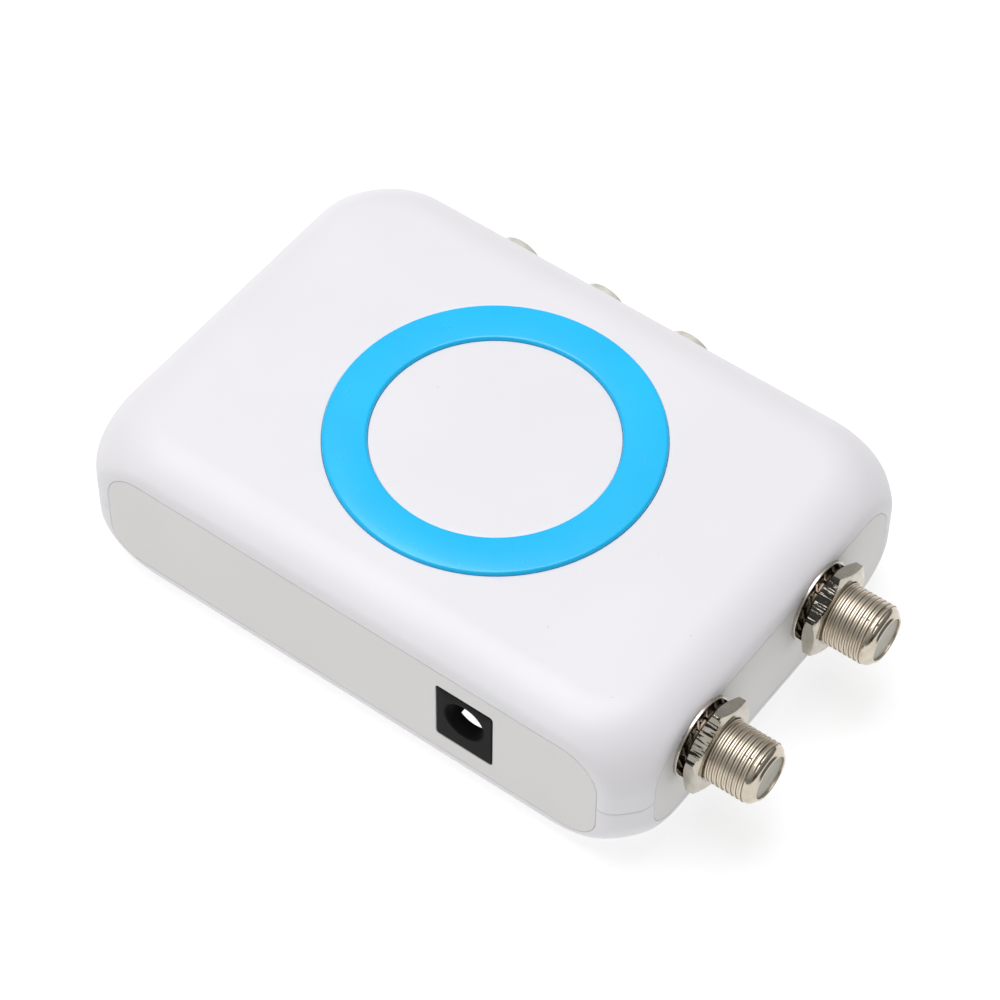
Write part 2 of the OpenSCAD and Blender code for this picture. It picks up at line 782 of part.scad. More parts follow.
// Hexagon nut with its corners turned down on both faces
module hex_nuts() {
    corner = nut_across_flats / cos(30) / 2;
    face = nut_face_share * nut_across_flats / 2;
    ridge = face + nut_thickness / 2 / tan(nut_chamfer_angle);
    color("silver") on_feet() for (k = [0, 1])
        translate([nut_back, aerial_places[k], aerial_height]) along_x() difference() {
            intersection() {
                rotate([0, 0, nut_turns[k]]) cylinder(r = corner, h = nut_thickness, $fn = 6);
                rotate_extrude() polygon([[0, 0], [face, 0], [ridge, nut_thickness / 2],
                    [face, nut_thickness], [0, nut_thickness]]);
            }
            translate([0, 0, -over]) cylinder(d = thread_core_diameter, h = nut_thickness + 2 * over);
        }
}

// Power socket
module power_socket_body() {
    color("dimgray") on_feet() difference() {
        translate([jack_place - jack_width / 2, jack_face, board_top])
            cube([jack_width, jack_depth, jack_height]);
        translate([jack_place, jack_face - over, jack_axis]) along_y()
            cylinder(d = jack_bore, h = jack_bore_depth + over);
        translate([jack_place, jack_face, jack_axis]) along_y()
            cylinder(d = jack_pin_diameter, h = jack_depth + over);
        translate([jack_place - jack_width / 2 - over, jack_face + jack_front_depth,
            jack_axis + jack_bore / 2 + jack_tail_drop])
            cube([jack_width + 2 * over, jack_depth, jack_height]);
        spring_room();
    }
}

// Room under the plug hole for the spring contact and its terminal
module spring_room() {
    translate([jack_place - spring_width / 2, jack_face + jack_front_depth, spring_low])
        cube([spring_width, spring_length, spring_sheet + jack_bore / 4]);
    translate([jack_place - spring_width / 2, jack_face + jack_front_depth + spring_length - spring_sheet,
        board_top - over]) cube([spring_width, spring_sheet, spring_low - board_top + 2 * over]);
}

module power_socket_pin() {
    tip = jack_pin_diameter / 2;
    color("silver") on_feet() translate([jack_place, jack_face, jack_axis]) along_y() {
        translate([0, 0, jack_pin_recess + tip])
            cylinder(d = jack_pin_diameter, h = jack_depth - jack_pin_recess - tip);
        translate([0, 0, jack_pin_recess + tip]) sphere(d = jack_pin_diameter);
        translate([-terminal_width / 2, 0, jack_depth])
            cube([terminal_width, jack_axis - board_top, terminal_sheet]);
        translate([0, 0, jack_depth]) cylinder(d = jack_pin_diameter, h = terminal_sheet);
    }
}

// Flat spring that touches the outside of the plug, with its terminal bent down to the board
module power_socket_spring() {
    color("goldenrod") on_feet() {
        translate([jack_place - spring_width / 2, jack_face + jack_front_depth, spring_low])
            cube([spring_width, spring_length, spring_sheet]);
        translate([jack_place - spring_width / 2, jack_face + jack_front_depth + spring_length - spring_sheet,
            board_top]) cube([spring_width, spring_sheet, spring_low + spring_sheet - board_top]);
    }
}

// Phono sockets
module at_phono(x) {
    translate([x, 0, phono_height]) along_y() children();
}

module phono_block() {
    left = phono_places[0] - phono_block_end;
    right = phono_places[2] + phono_block_end;
    color("dimgray") on_feet() difference() {
        translate([left, phono_back, board_top])
            cube([right - left, phono_block_depth, phono_block_height]);
        for (x = phono_places) at_phono(x) {
            translate([0, 0, sleeve_root]) cylinder(d = collar_diameter, h = phono_bore_depth + over);
            translate([0, 0, phono_back - over])
                cylinder(d = phono_pin_bore + 2 * phono_contact_wall, h = phono_block_depth + 2 * over);
        }
        for (x = [phono_places[0], phono_places[1]])
            translate([x + phono_spacing / 2 - block_edge, phono_front - block_notch_depth, board_top - over])
                cube([2 * block_edge, block_notch_depth + over, block_notch_height + over]);
    }
}

// Sleeve with a collar at its root
module phono_sleeves() {
    bore = sleeve_diameter / 2 - sleeve_wall;
    chamfer = sleeve_wall / 2;
    color("gainsboro") on_feet() for (x = phono_places) at_phono(x) rotate_extrude()
        polygon([[bore, sleeve_root], [collar_diameter / 2, sleeve_root], [collar_diameter / 2, side_plane],
            [sleeve_diameter / 2, side_plane], [sleeve_diameter / 2, sleeve_tip - chamfer],
            [sleeve_diameter / 2 - chamfer, sleeve_tip], [bore, sleeve_tip]]);
}

module phono_insulator(k) {
    contact = phono_pin_bore + 2 * phono_contact_wall;
    on_feet() at_phono(phono_places[k])
        tube(sleeve_diameter - 2 * sleeve_wall, contact, sleeve_root, sleeve_tip - insulator_recess);
}

module phono_insulator_yellow() {
    color("gold") phono_insulator(0);
}

module phono_insulator_white() {
    color("white") phono_insulator(1);
}

module phono_insulator_red() {
    color("crimson") phono_insulator(2);
}

module phono_contacts() {
    contact = phono_pin_bore + 2 * phono_contact_wall;
    color("goldenrod") on_feet() for (x = phono_places) {
        at_phono(x) {
            tube(contact, phono_pin_bore, phono_back, sleeve_tip - insulator_recess - contact_recess);
            tube(contact, 0, phono_back - phono_contact_wall, phono_back);
        }
        translate([x - phono_contact_wall, phono_back - 2 * phono_contact_wall, board_top])
            cube([2 * phono_contact_wall, phono_contact_wall, phono_height - board_top]);
    }
}

// Channel switch
module channel_switch_case() {
    color("silver") on_feet() difference() {
        translate([switch_place - switch_width / 2, switch_face - switch_depth, board_top])
            cube([switch_width, switch_depth, switch_height]);
        translate([switch_place - switch_width / 2 + switch_wall,
            switch_face - slider_block_depth - 2 * knob_gap, board_top + switch_wall])
            cube([switch_width - 2 * switch_wall, switch_depth, switch_height - 2 * switch_wall]);
    }
}

// Actuator at the left end of its travel, seen from above
module channel_switch_slider() {
    middle = switch_place - switch_travel / 2;
    reach = panel_back + knob_reach;
    color("black") on_feet() {
        translate([middle - slider_block_width / 2, switch_face - slider_block_depth - knob_gap,
            switch_axis - slider_block_height / 2])
            cube([slider_block_width, slider_block_depth, slider_block_height]);
        difference() {
            translate([middle - knob_width / 2, switch_face - 2 * knob_gap, switch_axis - knob_height / 2])
                cube([knob_width, 2 * knob_gap + reach, knob_height]);
            for (k = [1:knob_groove_count]) {
                groove_middle = middle - knob_width / 2 + k * knob_width / (knob_groove_count + 1);
                translate([groove_middle - knob_groove_width / 2,
                    switch_face + reach - knob_groove_depth, switch_axis - knob_height])
                    cube([knob_groove_width, over, 2 * knob_height]);
            }
        }
    }
}

// Screening can with its lid
module screening_can() {
    depth = can_rear_end - can_front_end;
    color("silver") on_feet() difference() {
        translate([can_back, can_front_end, board_top]) cube([can_length, depth, can_height]);
        translate([can_back + can_sheet, can_front_end + can_sheet, board_top - over])
            cube([can_length - 2 * can_sheet, depth - 2 * can_sheet, can_height + 2 * over]);
        at_aerials() translate([0, 0, can_face - over]) cylinder(d = thread_core_diameter, h = 2 * over);
    }
}

module screening_can_lid() {
    depth = can_rear_end - can_front_end;
    color("silver") on_feet() difference() {
        translate([can_back - can_sheet, can_front_end - can_sheet, can_top - lid_rim])
            cube([can_length + can_sheet, depth + 2 * can_sheet, lid_rim + can_sheet]);
        translate([can_back, can_front_end, can_top - lid_rim - over])
            cube([can_length + over, depth, lid_rim + over]);
    }
}

// Parts on the board, each place a share of the board's half length and half depth
radio_chip_share = 0.72;
coil_shares = [0.66, 0.79];
crystal_share = [0.42, -0.05];
sound_chip_share = [-0.12, -0.1];
capacitor_shares = [[-0.62, -0.62], [-0.38, -0.62], [-0.62, 0.1]];
regulator_share = [-0.05, -0.62];
choke_share = [0.2, 0.1];

chip_length = 10;
chip_width = 4;
chip_height = 1.6;
chip_lift = 0.2;
chip_leg_count = 7;
leg_width = 0.45;
leg_reach = 1;
leg_sheet = 0.2;
capacitor_diameters = [8, 6.3, 5];
capacitor_heights = [11.5, 11, 11];
capacitor_groove = 0.35;
capacitor_groove_height = 1.8;
crystal_length = 10.2;
crystal_width = 3.6;
crystal_height = 3.4;
crystal_rim = 0.45;
coil_base = 5;
coil_space = 0.5;
coil_height = 7;
coil_screw = 2.6;
coil_screw_depth = 1;
regulator_width = 6.5;
regulator_depth = 3.5;
regulator_height = 1.7;
regulator_tab = 3;
regulator_tab_reach = 1.8;
choke_outer = 9;
choke_inner = 4.4;
choke_thickness = 4;

function board_place(share) = [share[0] * end_plane, share[1] * side_plane, board_top];

// The radio chip lies midway between the aerial sockets, with the coils beside its rear end
radio_chip_y = (aerial_places[0] + aerial_places[1]) / 2;
coil_y = radio_chip_y + (chip_length + coil_base) / 2 + coil_space;

module chip(length, width, height, leg_count) {
    translate([-length / 2, -width / 2, chip_lift]) cube([length, width, height]);
    for (s = [-1, 1], k = [0:leg_count - 1]) {
        leg_middle = (k - (leg_count - 1) / 2) * length / leg_count;
        translate([leg_middle - leg_width / 2, s * (width + leg_reach) / 2 - leg_reach / 2, 0])
            cube([leg_width, leg_reach, chip_lift + height / 2]);
    }
}

module radio_chip() {
    color("dimgray") on_feet() translate([radio_chip_share * end_plane, radio_chip_y, board_top])
        rotate([0, 0, 90]) chip(chip_length, chip_width, chip_height, chip_leg_count);
}

module sound_chip() {
    color("dimgray") on_feet() translate(board_place(sound_chip_share))
        chip(chip_length, chip_width, chip_height, chip_leg_count);
}

module tuning_coils() {
    color("silver") on_feet() for (s = coil_shares)
        translate([s * end_plane, coil_y, board_top]) difference() {
            translate([-coil_base / 2, -coil_base / 2, 0]) cube([coil_base, coil_base, coil_height]);
            translate([0, 0, coil_height - coil_screw_depth])
                cylinder(d = coil_screw, h = coil_screw_depth + over);
        }
}

// Crystal in a flat can with round ends and a welded rim
module crystal() {
    color("silver") on_feet() translate(board_place(crystal_share)) {
        linear_extrude(crystal_height) crystal_outline(0);
        linear_extrude(crystal_rim) crystal_outline(crystal_rim);
    }
}

module crystal_outline(grow) {
    half = (crystal_length - crystal_width) / 2;
    for (s = [-1, 1]) translate([s * half, 0]) circle(d = crystal_width + 2 * grow);
    translate([-half, -crystal_width / 2 - grow]) square([2 * half, crystal_width + 2 * grow]);
}

// Electrolytic capacitors with the groove that grips their seal
module capacitors() {
    color("navy") on_feet() for (k = [0:len(capacitor_shares) - 1])
        translate(board_place(capacitor_shares[k])) difference() {
            cylinder(d = capacitor_diameters[k], h = capacitor_heights[k]);
            translate([0, 0, capacitor_groove_height]) rotate_extrude()
                translate([capacitor_diameters[k] / 2, 0]) circle(r = capacitor_groove);
        }
}

module voltage_regulator() {
    color("dimgray") on_feet() translate(board_place(regulator_share)) {
        translate([-regulator_width / 2, -regulator_depth / 2, 0])
            cube([regulator_width, regulator_depth, regulator_height]);
        translate([-regulator_tab / 2, regulator_depth / 2, 0])
            cube([regulator_tab, regulator_tab_reach, leg_sheet]);
        for (k = [-1:1])
            translate([k * regulator_tab - leg_width, -regulator_depth / 2 - regulator_tab_reach, 0])
                cube([2 * leg_width, regulator_tab_reach, leg_sheet]);
    }
}

module choke() {
    color("darkgoldenrod") on_feet() translate(board_place(choke_share))
        tube(choke_outer, choke_inner, 0, choke_thickness);
}

upper_shell();
lower_shell();
front_panel();
rear_panel();
right_panel();
left_panel();
accent_ring();
rubber_feet();
case_screws();
circuit_board();
board_screws();
aerial_bodies();
aerial_insulators();
aerial_contacts();
flat_washers();
lock_washers();
hex_nuts();
power_socket_body();
power_socket_pin();
power_socket_spring();
phono_block();
phono_sleeves();
phono_insulator_yellow();
phono_insulator_white();
phono_insulator_red();
phono_contacts();
channel_switch_case();
channel_switch_slider();
screening_can();
screening_can_lid();
radio_chip();
tuning_coils();
crystal();
sound_chip();
capacitors();
voltage_regulator();
choke();
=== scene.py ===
"""Looks of the rf modulator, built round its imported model.

Until a piece is finished, lengths are in millimetres and heights are counted from the underside of the case.
"""
import math

import bmesh
import bpy
import numpy as np
from mathutils import Matrix, Vector


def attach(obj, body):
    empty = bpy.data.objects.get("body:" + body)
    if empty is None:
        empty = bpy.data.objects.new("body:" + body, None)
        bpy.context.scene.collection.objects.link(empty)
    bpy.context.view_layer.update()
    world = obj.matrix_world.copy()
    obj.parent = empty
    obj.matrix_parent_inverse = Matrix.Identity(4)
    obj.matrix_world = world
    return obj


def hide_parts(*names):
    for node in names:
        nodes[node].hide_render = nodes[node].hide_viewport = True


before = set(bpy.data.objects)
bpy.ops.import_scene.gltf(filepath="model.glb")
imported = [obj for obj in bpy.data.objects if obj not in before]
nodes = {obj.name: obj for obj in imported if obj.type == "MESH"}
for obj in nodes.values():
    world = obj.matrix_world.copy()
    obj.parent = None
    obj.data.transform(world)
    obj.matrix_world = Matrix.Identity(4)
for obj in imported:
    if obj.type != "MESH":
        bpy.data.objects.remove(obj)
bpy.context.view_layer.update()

MM = 0.001
FOOT_PROUD = 0.8

# Case: size of the rounded form, its radii in plan, at the top and at the bottom, its flats, seam and walls
BODY = (102.0, 74.6, 26.0)
CORNER, TOP_EDGE, LOW_EDGE = 16.0, 10.4, 9.5
END_PLANE, SIDE_PLANE = 48.5, 34.2
FLAT_EASE = 0.9
SEAM = 12.4
WALL, ROOF = 4.4, 2.3

# Panels: lengths, how far their planes cut into the rounded edges, corner radii, margin and depths
FRONT_PANEL, END_PANEL = 85.6, 56.8
SIDE_INSET, END_INSET = 3.1, 2.5
PANEL_TOP, PANEL_LOW = 6.0, 5.0
PANEL_MARGIN, PANEL_THICKNESS, RECESS_DEPTH = 1.5, 2.0, 2.4

# Places on the panels, the top and the underside
AERIAL_Y = (-18.225, 10.4214)
AERIAL_Z = 16.25
PHONO_X = (-23.868, -8.415, 7.038)
PHONO_Z = 13.0
JACK = (20.604, -SIDE_PLANE, 13.5)
SWITCH = (23.97, 9.8)
RING_OUTER, RING_INNER, RING_Y = 24.45, 18.0, 0.5
SCREWS = [(sx * 38.0, sy * 27.3) for sx in (-1, 1) for sy in (-1, 1)]
FEET = [(sx * 32.0, sy * 18.3) for sx in (-1, 1) for sy in (-1, 1)]

# Aerial sockets: the thread, and places along the axis
THREAD_PITCH, THREAD_ROOT, THREAD_CREST = 25.4 / 32, 4.5, 4.745
BARREL_START, BARREL_BORE = 41.3, 3.17
NOSE_START, FACE_PLACE, FACE_RADIUS = 57.4, 59.72, 3.29


# Camera, at the photograph's place: angles in degrees, its place from the middle of the case, and its lens

TURN, HEIGHT, ROLL = 36.16, 51.71, 0.63
DISTANCE, ASIDE, BELOW = 522.5, 1.056, 0.452
SENSOR, LENS = 36.0, 131.238


def aim_camera():
    turn, height, roll = math.radians(TURN), math.radians(HEIGHT), math.radians(ROLL)
    back = Vector((math.sin(turn) * math.cos(height), -math.cos(turn) * math.cos(height), math.sin(height)))
    right = Vector((math.cos(turn), math.sin(turn), 0))
    up = back.cross(right)
    side = math.cos(roll) * right + math.sin(roll) * up
    above = math.cos(roll) * up - math.sin(roll) * right
    middle = Vector((0, 0, BODY[2] / 2 + FOOT_PROUD))
    place = middle + back * DISTANCE + side * ASIDE - above * BELOW
    camera = bpy.data.objects.new("camera", bpy.data.cameras.new("camera"))
    camera.data.sensor_width = SENSOR
    camera.data.lens = LENS
    camera.data.clip_start, camera.data.clip_end = 0.01, 20.0
    camera.matrix_world = Matrix((
        (side.x, above.x, back.x, place.x * MM), (side.y, above.y, back.y, place.y * MM),
        (side.z, above.z, back.z, place.z * MM), (0, 0, 0, 1)))
    bpy.context.scene.collection.objects.link(camera)
    bpy.context.scene.camera = camera


aim_camera()


# Materials

class Value:
    """A shader socket that takes part in sums."""

    def __init__(self, finish, socket):
        self.finish, self.socket = finish, socket

    def math(self, operation, *others):
        return self.finish.node("ShaderNodeMath", {"operation": operation}, self, *others)

    def __add__(self, other): return self.math("ADD", other)
    def __sub__(self, other): return self.math("SUBTRACT", other)
    def __mul__(self, other): return self.math("MULTIPLY", other)
    def __pow__(self, other): return self.math("POWER", other)

    def __rsub__(self, other):
        return self.finish.node("ShaderNodeMath", {"operation": "SUBTRACT"}, other, self)

    __radd__, __rmul__ = __add__, __mul__

    def above(self, edge, soft):
        """0 below edge, 1 from soft beyond it."""
        return self.finish.node("ShaderNodeMapRange", {"interpolation_type": "SMOOTHSTEP"},
                                self, edge, edge + soft, 0.0, 1.0)


class Finish:
    """A material and the few kinds of node that these need."""

    def __init__(self, name, **sockets):
        self.material = bpy.data.materials.new(name)
        self.material.use_nodes = True
        self.tree = self.material.node_tree
        self.tree.nodes.clear()
        out = self.tree.nodes.new("ShaderNodeOutputMaterial")
        self.shader = self.tree.nodes.new("ShaderNodeBsdfPrincipled")
        self.tree.links.new(self.shader.outputs[0], out.inputs[0])
        for socket, value in sockets.items():
            self.put(socket.replace("_", " "), value)

    def feed(self, target, value):
        """Links a value to a socket, or sets the socket to a number or colour."""
        if isinstance(value, Value):
            self.tree.links.new(value.socket, target)
        else:
            target.default_value = value

    def put(self, socket, value):
        self.feed(self.shader.inputs[socket], value)

    def node(self, kind, settings, *values, output=0, **named):
        """A node: its settings first, then its sockets in order or by name. None leaves a socket as it is."""
        made = self.tree.nodes.new(kind)
        for key, value in settings.items():
            setattr(made, key, value)
        for key, value in [*enumerate(values), *named.items()]:
            if value is not None:
                self.feed(made.inputs[key], value)
        return Value(self, made.outputs[output])

    def place(self, size):
        """Object coordinates, in units of size metres, or of a size for each axis."""
        scale = size if isinstance(size, tuple) else (size, size, size)
        spot = self.node("ShaderNodeTexCoord", {}, output="Object")
        return self.node("ShaderNodeMapping", {"vector_type": "TEXTURE"}, spot, Scale=scale)

    def noise(self, size, detail=2.0, roughness=0.5):
        return self.node("ShaderNodeTexNoise", {}, self.place(size), Scale=1.0, Detail=detail,
                         Roughness=roughness)

    def cells(self, size):
        return self.node("ShaderNodeTexVoronoi", {"feature": "F1"}, self.place(size), Scale=1.0)

    def blend(self, share, first, second):
        """Mix of two colours. The five sockets in between are for numbers and vectors."""
        between = (None,) * 5
        return self.node("ShaderNodeMix", {"data_type": "RGBA", "clamp_factor": True},
                         share, *between, first, second, output=2)

    def parts(self, spot):
        """The three coordinates of a place, as values."""
        made = self.node("ShaderNodeSeparateXYZ", {}, spot)
        return [Value(self, s) for s in made.socket.node.outputs]

    def relief(self, height, distance, strength):
        """Bump from a height in units of distance metres."""
        return self.node("ShaderNodeBump", {}, strength, distance, Height=height)


def toned(colour, share):
    """A colour made darker or lighter by a share."""
    return tuple(c * share for c in colour[:3]) + (1.0,)


def moulded(name, colour, roughness=0.42, grain=0.00035, depth=0.000008, specks=0.0, shade=0.06, coat=0.0,
            sheen=0.5, painted_glow=0.0):
    """Moulded plastic: faint cloudiness in the colour, fine grain, a few handling marks; painted_glow makes it
    glow, a painted highlight.
    """
    m = Finish(name, Roughness=roughness, Specular_IOR_Level=sheen, Coat_Weight=coat, Coat_Roughness=0.08,
               Emission_Strength=painted_glow)
    cloud = m.noise(size=0.018, detail=3.0)
    base = m.blend(cloud.above(0.35, 0.4), toned(colour, 1 - shade), colour)
    if specks:
        spots = m.cells(size=0.0075)
        mask = 1.0 - spots.above(0.012, 0.012)
        base = m.blend(mask * specks, base, toned(colour, 0.25))
    m.put("Base Color", base)
    # A glow is painted light: the part shines though it is no lamp.
    if painted_glow:
        m.put("Emission Color", base)
    rub = m.noise(size=0.004, detail=4.0, roughness=0.65)
    m.put("Roughness", roughness - 0.05 + rub * 0.1)
    m.put("Normal", m.relief(m.noise(grain), depth, strength=0.6))
    return m.material


# Colour of the painted shade on the thread's flanks
BROWN_PAINTED_SHADE = (0.13, 0.085, 0.045, 1.0)


def plated(name, colour, roughness=0.2, wear=0.5, streak=0.0004, depth=0.000015, dark=None, painted_colour=BROWN_PAINTED_SHADE,
           metal=1.0):
    """Plated metal: uneven shine, fine marks of streak's size, and painted_colour where dark, a mask maker,
    says so: painted shade on the thread's flanks, painted reflection streaks on the nuts.
    """
    m = Finish(name, Metallic=metal)
    blotch = m.noise(size=0.0022, detail=4.0, roughness=0.6)
    base = m.blend(blotch.above(0.3, 0.45), toned(colour, 0.82), colour)
    marks = m.noise(size=streak, detail=3.0, roughness=0.6)
    # The painted colour stands in for light: painted shade on the thread, a painted reflection on the nuts.
    if dark:
        base = m.blend(dark(m), base, painted_colour)
    m.put("Base Color", base)
    m.put("Roughness", roughness + (blotch - 0.5) * 0.16 * wear + (marks - 0.5) * 0.2 * wear)
    m.put("Normal", m.relief(marks, depth, strength=0.5))
    return m.material


def axis_distance(m):
    """Distance in millimetres from the nearer of the aerial sockets' axes."""
    x, y, z = m.parts(m.place(MM))
    rise = z - (AERIAL_Z + FOOT_PROUD)
    first, second = ((((y - axis_y) ** 2.0) + (rise ** 2.0)) ** 0.5 for axis_y in AERIAL_Y)
    return first.math("MINIMUM", second)


def painted_flank_shade(m):
    """Painted shade, drawn brown: strong on the flanks of the thread, and 0 on its crests and roots."""
    distance = axis_distance(m)
    above_root = distance.above(THREAD_ROOT + 0.005, 0.05)
    return above_root * (1.0 - distance.above(THREAD_CREST - 0.09, 0.05)) * 0.9


def painted_reflection_streaks(m):
    """Painted reflection: dark streaks on the flat of each nut that faces up and to the front; more of them on
    the rear nut.
    """
    flat_up, flat_front, flat_distance, between_nuts = 0.843, 0.537, 6.08, -4.0
    x, y, z = m.parts(m.place(MM))
    rear = y.above(between_nuts, 0.01)
    upward = (z - (AERIAL_Z + FOOT_PROUD)) * flat_up
    frontward = (y - (rear * (AERIAL_Y[1] - AERIAL_Y[0]) + AERIAL_Y[0])) * flat_front
    out = upward - frontward
    streaks = m.noise(size=(0.0035, 0.0003, 0.0003), detail=3.0, roughness=0.6)
    return out.above(flat_distance, 0.05) * (streaks + rear * 0.08).above(0.5, 0.03) * 0.97


WHITE = moulded("case_white", (0.81, 0.80, 0.82, 1.0), 0.40, specks=0.25, shade=0.02)
# Painted shade: the upright panels are a darker, warmer copy of the case white, for the less light they get.
PANEL_PAINTED_SHADE = moulded("panel_white_painted_shade", (0.755, 0.75, 0.735, 1.0), 0.42, shade=0.02, specks=0.2)
BLUE = moulded("ring_blue", (0.002, 0.555, 0.99, 1.0), 0.26, grain=0.0012, depth=0.000004, shade=0.07,
               coat=0.2, sheen=0.4)
SOCKET = moulded("power_socket_black", (0.009, 0.009, 0.010, 1.0), 0.5, shade=0.25, depth=0.00001, sheen=0.06)
# Painted highlight: the liner in the power socket's hole glows to stand in for a bright glint.
PAINTED_GLINT_LINER = moulded("liner_painted_glint", (0.95, 0.95, 0.93, 1.0), 0.25, depth=0.000002, shade=0.02, painted_glow=0.95)
BLACK = moulded("socket_black", (0.012, 0.012, 0.013, 1.0), 0.38, shade=0.25, depth=0.00001)
RUBBER = moulded("foot_rubber", (0.018, 0.018, 0.018, 1.0), 0.75, grain=0.0005, depth=0.00003, shade=0.3)
YELLOW = moulded("insulator_yellow", (0.85, 0.55, 0.02, 1.0), 0.35)
PALE = moulded("insulator_white", (0.82, 0.82, 0.80, 1.0), 0.35)
RED = moulded("insulator_red", (0.58, 0.012, 0.014, 1.0), 0.35)
MARK = moulded("mark_grey", (0.05, 0.05, 0.055, 1.0), 0.5)
CHIP = moulded("chip_black", (0.02, 0.02, 0.02, 1.0), 0.55)
BOARD = moulded("board_green", (0.012, 0.13, 0.04, 1.0), 0.35, shade=0.2)
SLEEVE = moulded("sleeve_blue", (0.01, 0.02, 0.12, 1.0), 0.4)
FERRITE = moulded("ferrite", (0.05, 0.045, 0.04, 1.0), 0.6)
# The thread's flanks carry painted brown shade.
THREAD = plated("thread_nickel", (0.76, 0.68, 0.55, 1.0), 0.36, 0.8, dark=painted_flank_shade)
NOSE = plated("nose_nickel", (0.66, 0.595, 0.49, 1.0), 0.17, 0.4)
END_FACE = moulded("insulator_grey", (0.50, 0.475, 0.41, 1.0), 0.5, grain=0.0006, depth=0.00001, shade=0.12)
# The nuts' dark streaks are a painted reflection on the flat that faces up and to the front.
NUT = plated("nut_nickel", (0.58, 0.54, 0.46, 1.0), 0.2, 0.9, streak=(0.0009, 0.0003, 0.0003), depth=0.00003,
             dark=painted_reflection_streaks, painted_colour=(0.012, 0.011, 0.010, 1.0))
WASHER = plated("washer_nickel", (0.62, 0.58, 0.51, 1.0), 0.27, 0.6)
SPRING_STEEL = plated("lock_washer_steel", (0.14, 0.11, 0.08, 1.0), 0.25, 0.8)
PHONO_NICKEL = plated("phono_nickel", (0.86, 0.84, 0.76, 1.0), 0.34, 0.6, metal=0.45)
PIN_METAL = plated("pin_nickel", (0.85, 0.84, 0.80, 1.0), 0.12, 0.3)
BRASS = plated("contact_brass", (0.72, 0.50, 0.20, 1.0), 0.3)
TIN = plated("tinplate", (0.62, 0.62, 0.60, 1.0), 0.32)
SCREW = plated("screw_steel", (0.55, 0.55, 0.53, 1.0), 0.3)


# Shaping

def solid():
    return bmesh.new()


def swing(bm, angle, axis):
    """Turns a solid about an axis through the origin, by radians."""
    bmesh.ops.rotate(bm, verts=bm.verts, cent=(0, 0, 0), matrix=Matrix.Rotation(angle, 3, axis))


def shift(bm, vec):
    bmesh.ops.translate(bm, verts=bm.verts, vec=vec)


def face_outwards(bm):
    bmesh.ops.recalc_face_normals(bm, faces=bm.faces)


def point_along(bm, way, at=(0, 0, 0)):
    """Turns what is built round +Z to +X or +Y, then moves it."""
    if way == "x":
        swing(bm, math.pi / 2, "Y")
    elif way == "y":
        swing(bm, -math.pi / 2, "X")
    shift(bm, at)


def revolve(profile, way="z", at=(0, 0, 0), steps=96, closed=False):
    """Full spin of a profile of (radius, height) points."""
    bm = solid()
    points = [bm.verts.new((r, 0, h)) for r, h in profile]
    ring = points + points[:1] if closed else points
    edges = [bm.edges.new(pair) for pair in zip(ring, ring[1:])]
    bmesh.ops.spin(bm, geom=points + edges, cent=(0, 0, 0), axis=(0, 0, 1), dvec=(0, 0, 0), angle=2 * math.pi,
                   steps=steps, use_merge=True, use_normal_flip=False, use_duplicate=False)
    bmesh.ops.remove_doubles(bm, verts=bm.verts, dist=0.0005)
    face_outwards(bm)
    point_along(bm, way, at)
    return bm


def bore(radius, start, stop, way="z", at=(0, 0, 0), steps=48):
    """Cutter for a round hole from start to stop along its axis."""
    return revolve([(0, start), (radius, start), (radius, stop), (0, stop)], way, at, steps)


def arc(centre, radius, start, stop, count):
    """Points (radius, height) on an arc; radius may be a pair for an ellipse."""
    across, along = radius if isinstance(radius, tuple) else (radius, radius)
    angles = [math.radians(start + (stop - start) * k / count) for k in range(count + 1)]
    return [(centre[0] + across * math.cos(a), centre[1] + along * math.sin(a)) for a in angles]


def bevel(bm, edges, width, segments=3):
    bmesh.ops.bevel(bm, geom=list(edges), affect="EDGES", offset=width, offset_type="OFFSET",
                    segments=segments, profile=0.5, clamp_overlap=True, material=-1)


def sharp_edges(bm, least, keep=lambda edge: True):
    """Edges where two faces meet at more than least degrees, of those that keep allows."""
    limit = math.radians(least)
    return [e for e in bm.edges if len(e.link_faces) == 2 and e.calc_face_angle() > limit and keep(e)]


def runs_along(axis):
    """Allows the edges that run more than a millimetre along an axis."""
    return lambda edge: abs(edge.verts[0].co[axis] - edge.verts[1].co[axis]) > 1


def block(low, high):
    bm = solid()
    bmesh.ops.create_cube(bm, size=1.0)
    bmesh.ops.scale(bm, vec=[h - l for l, h in zip(low, high)], verts=bm.verts)
    shift(bm, [(h + l) / 2 for l, h in zip(low, high)])
    return bm


def absorb(target, *others):
    """Adds the other solids to the first."""
    for other in others:
        mesh = bpy.data.meshes.new("part")
        other.to_mesh(mesh)
        other.free()
        target.from_mesh(mesh)
        bpy.data.meshes.remove(mesh)
    return target


def as_object(bm, name):
    mesh = bpy.data.meshes.new(name)
    bm.to_mesh(mesh)
    bm.free()
    made = bpy.data.objects.new(name, mesh)
    bpy.context.scene.collection.objects.link(made)
    return made


def evaluated_solid(made):
    """What an object looks like with its modifiers, or its letters, made a solid."""
    bpy.context.view_layer.update()
    mesh = bpy.data.meshes.new_from_object(made.evaluated_get(bpy.context.evaluated_depsgraph_get()))
    result = solid()
    result.from_mesh(mesh)
    bpy.data.meshes.remove(mesh)
    return result


def cut(bm, tool, operation="DIFFERENCE"):
    """The solid after an exact boolean with the tool."""
    body, cutter = as_object(bm, "body"), as_object(tool, "cutter")
    step = body.modifiers.new("cut", "BOOLEAN")
    step.operation, step.solver, step.object = operation, "EXACT", cutter
    result = evaluated_solid(body)
    for gone in (body, cutter):
        old = gone.data
        bpy.data.objects.remove(gone)
        bpy.data.meshes.remove(old)
    return result


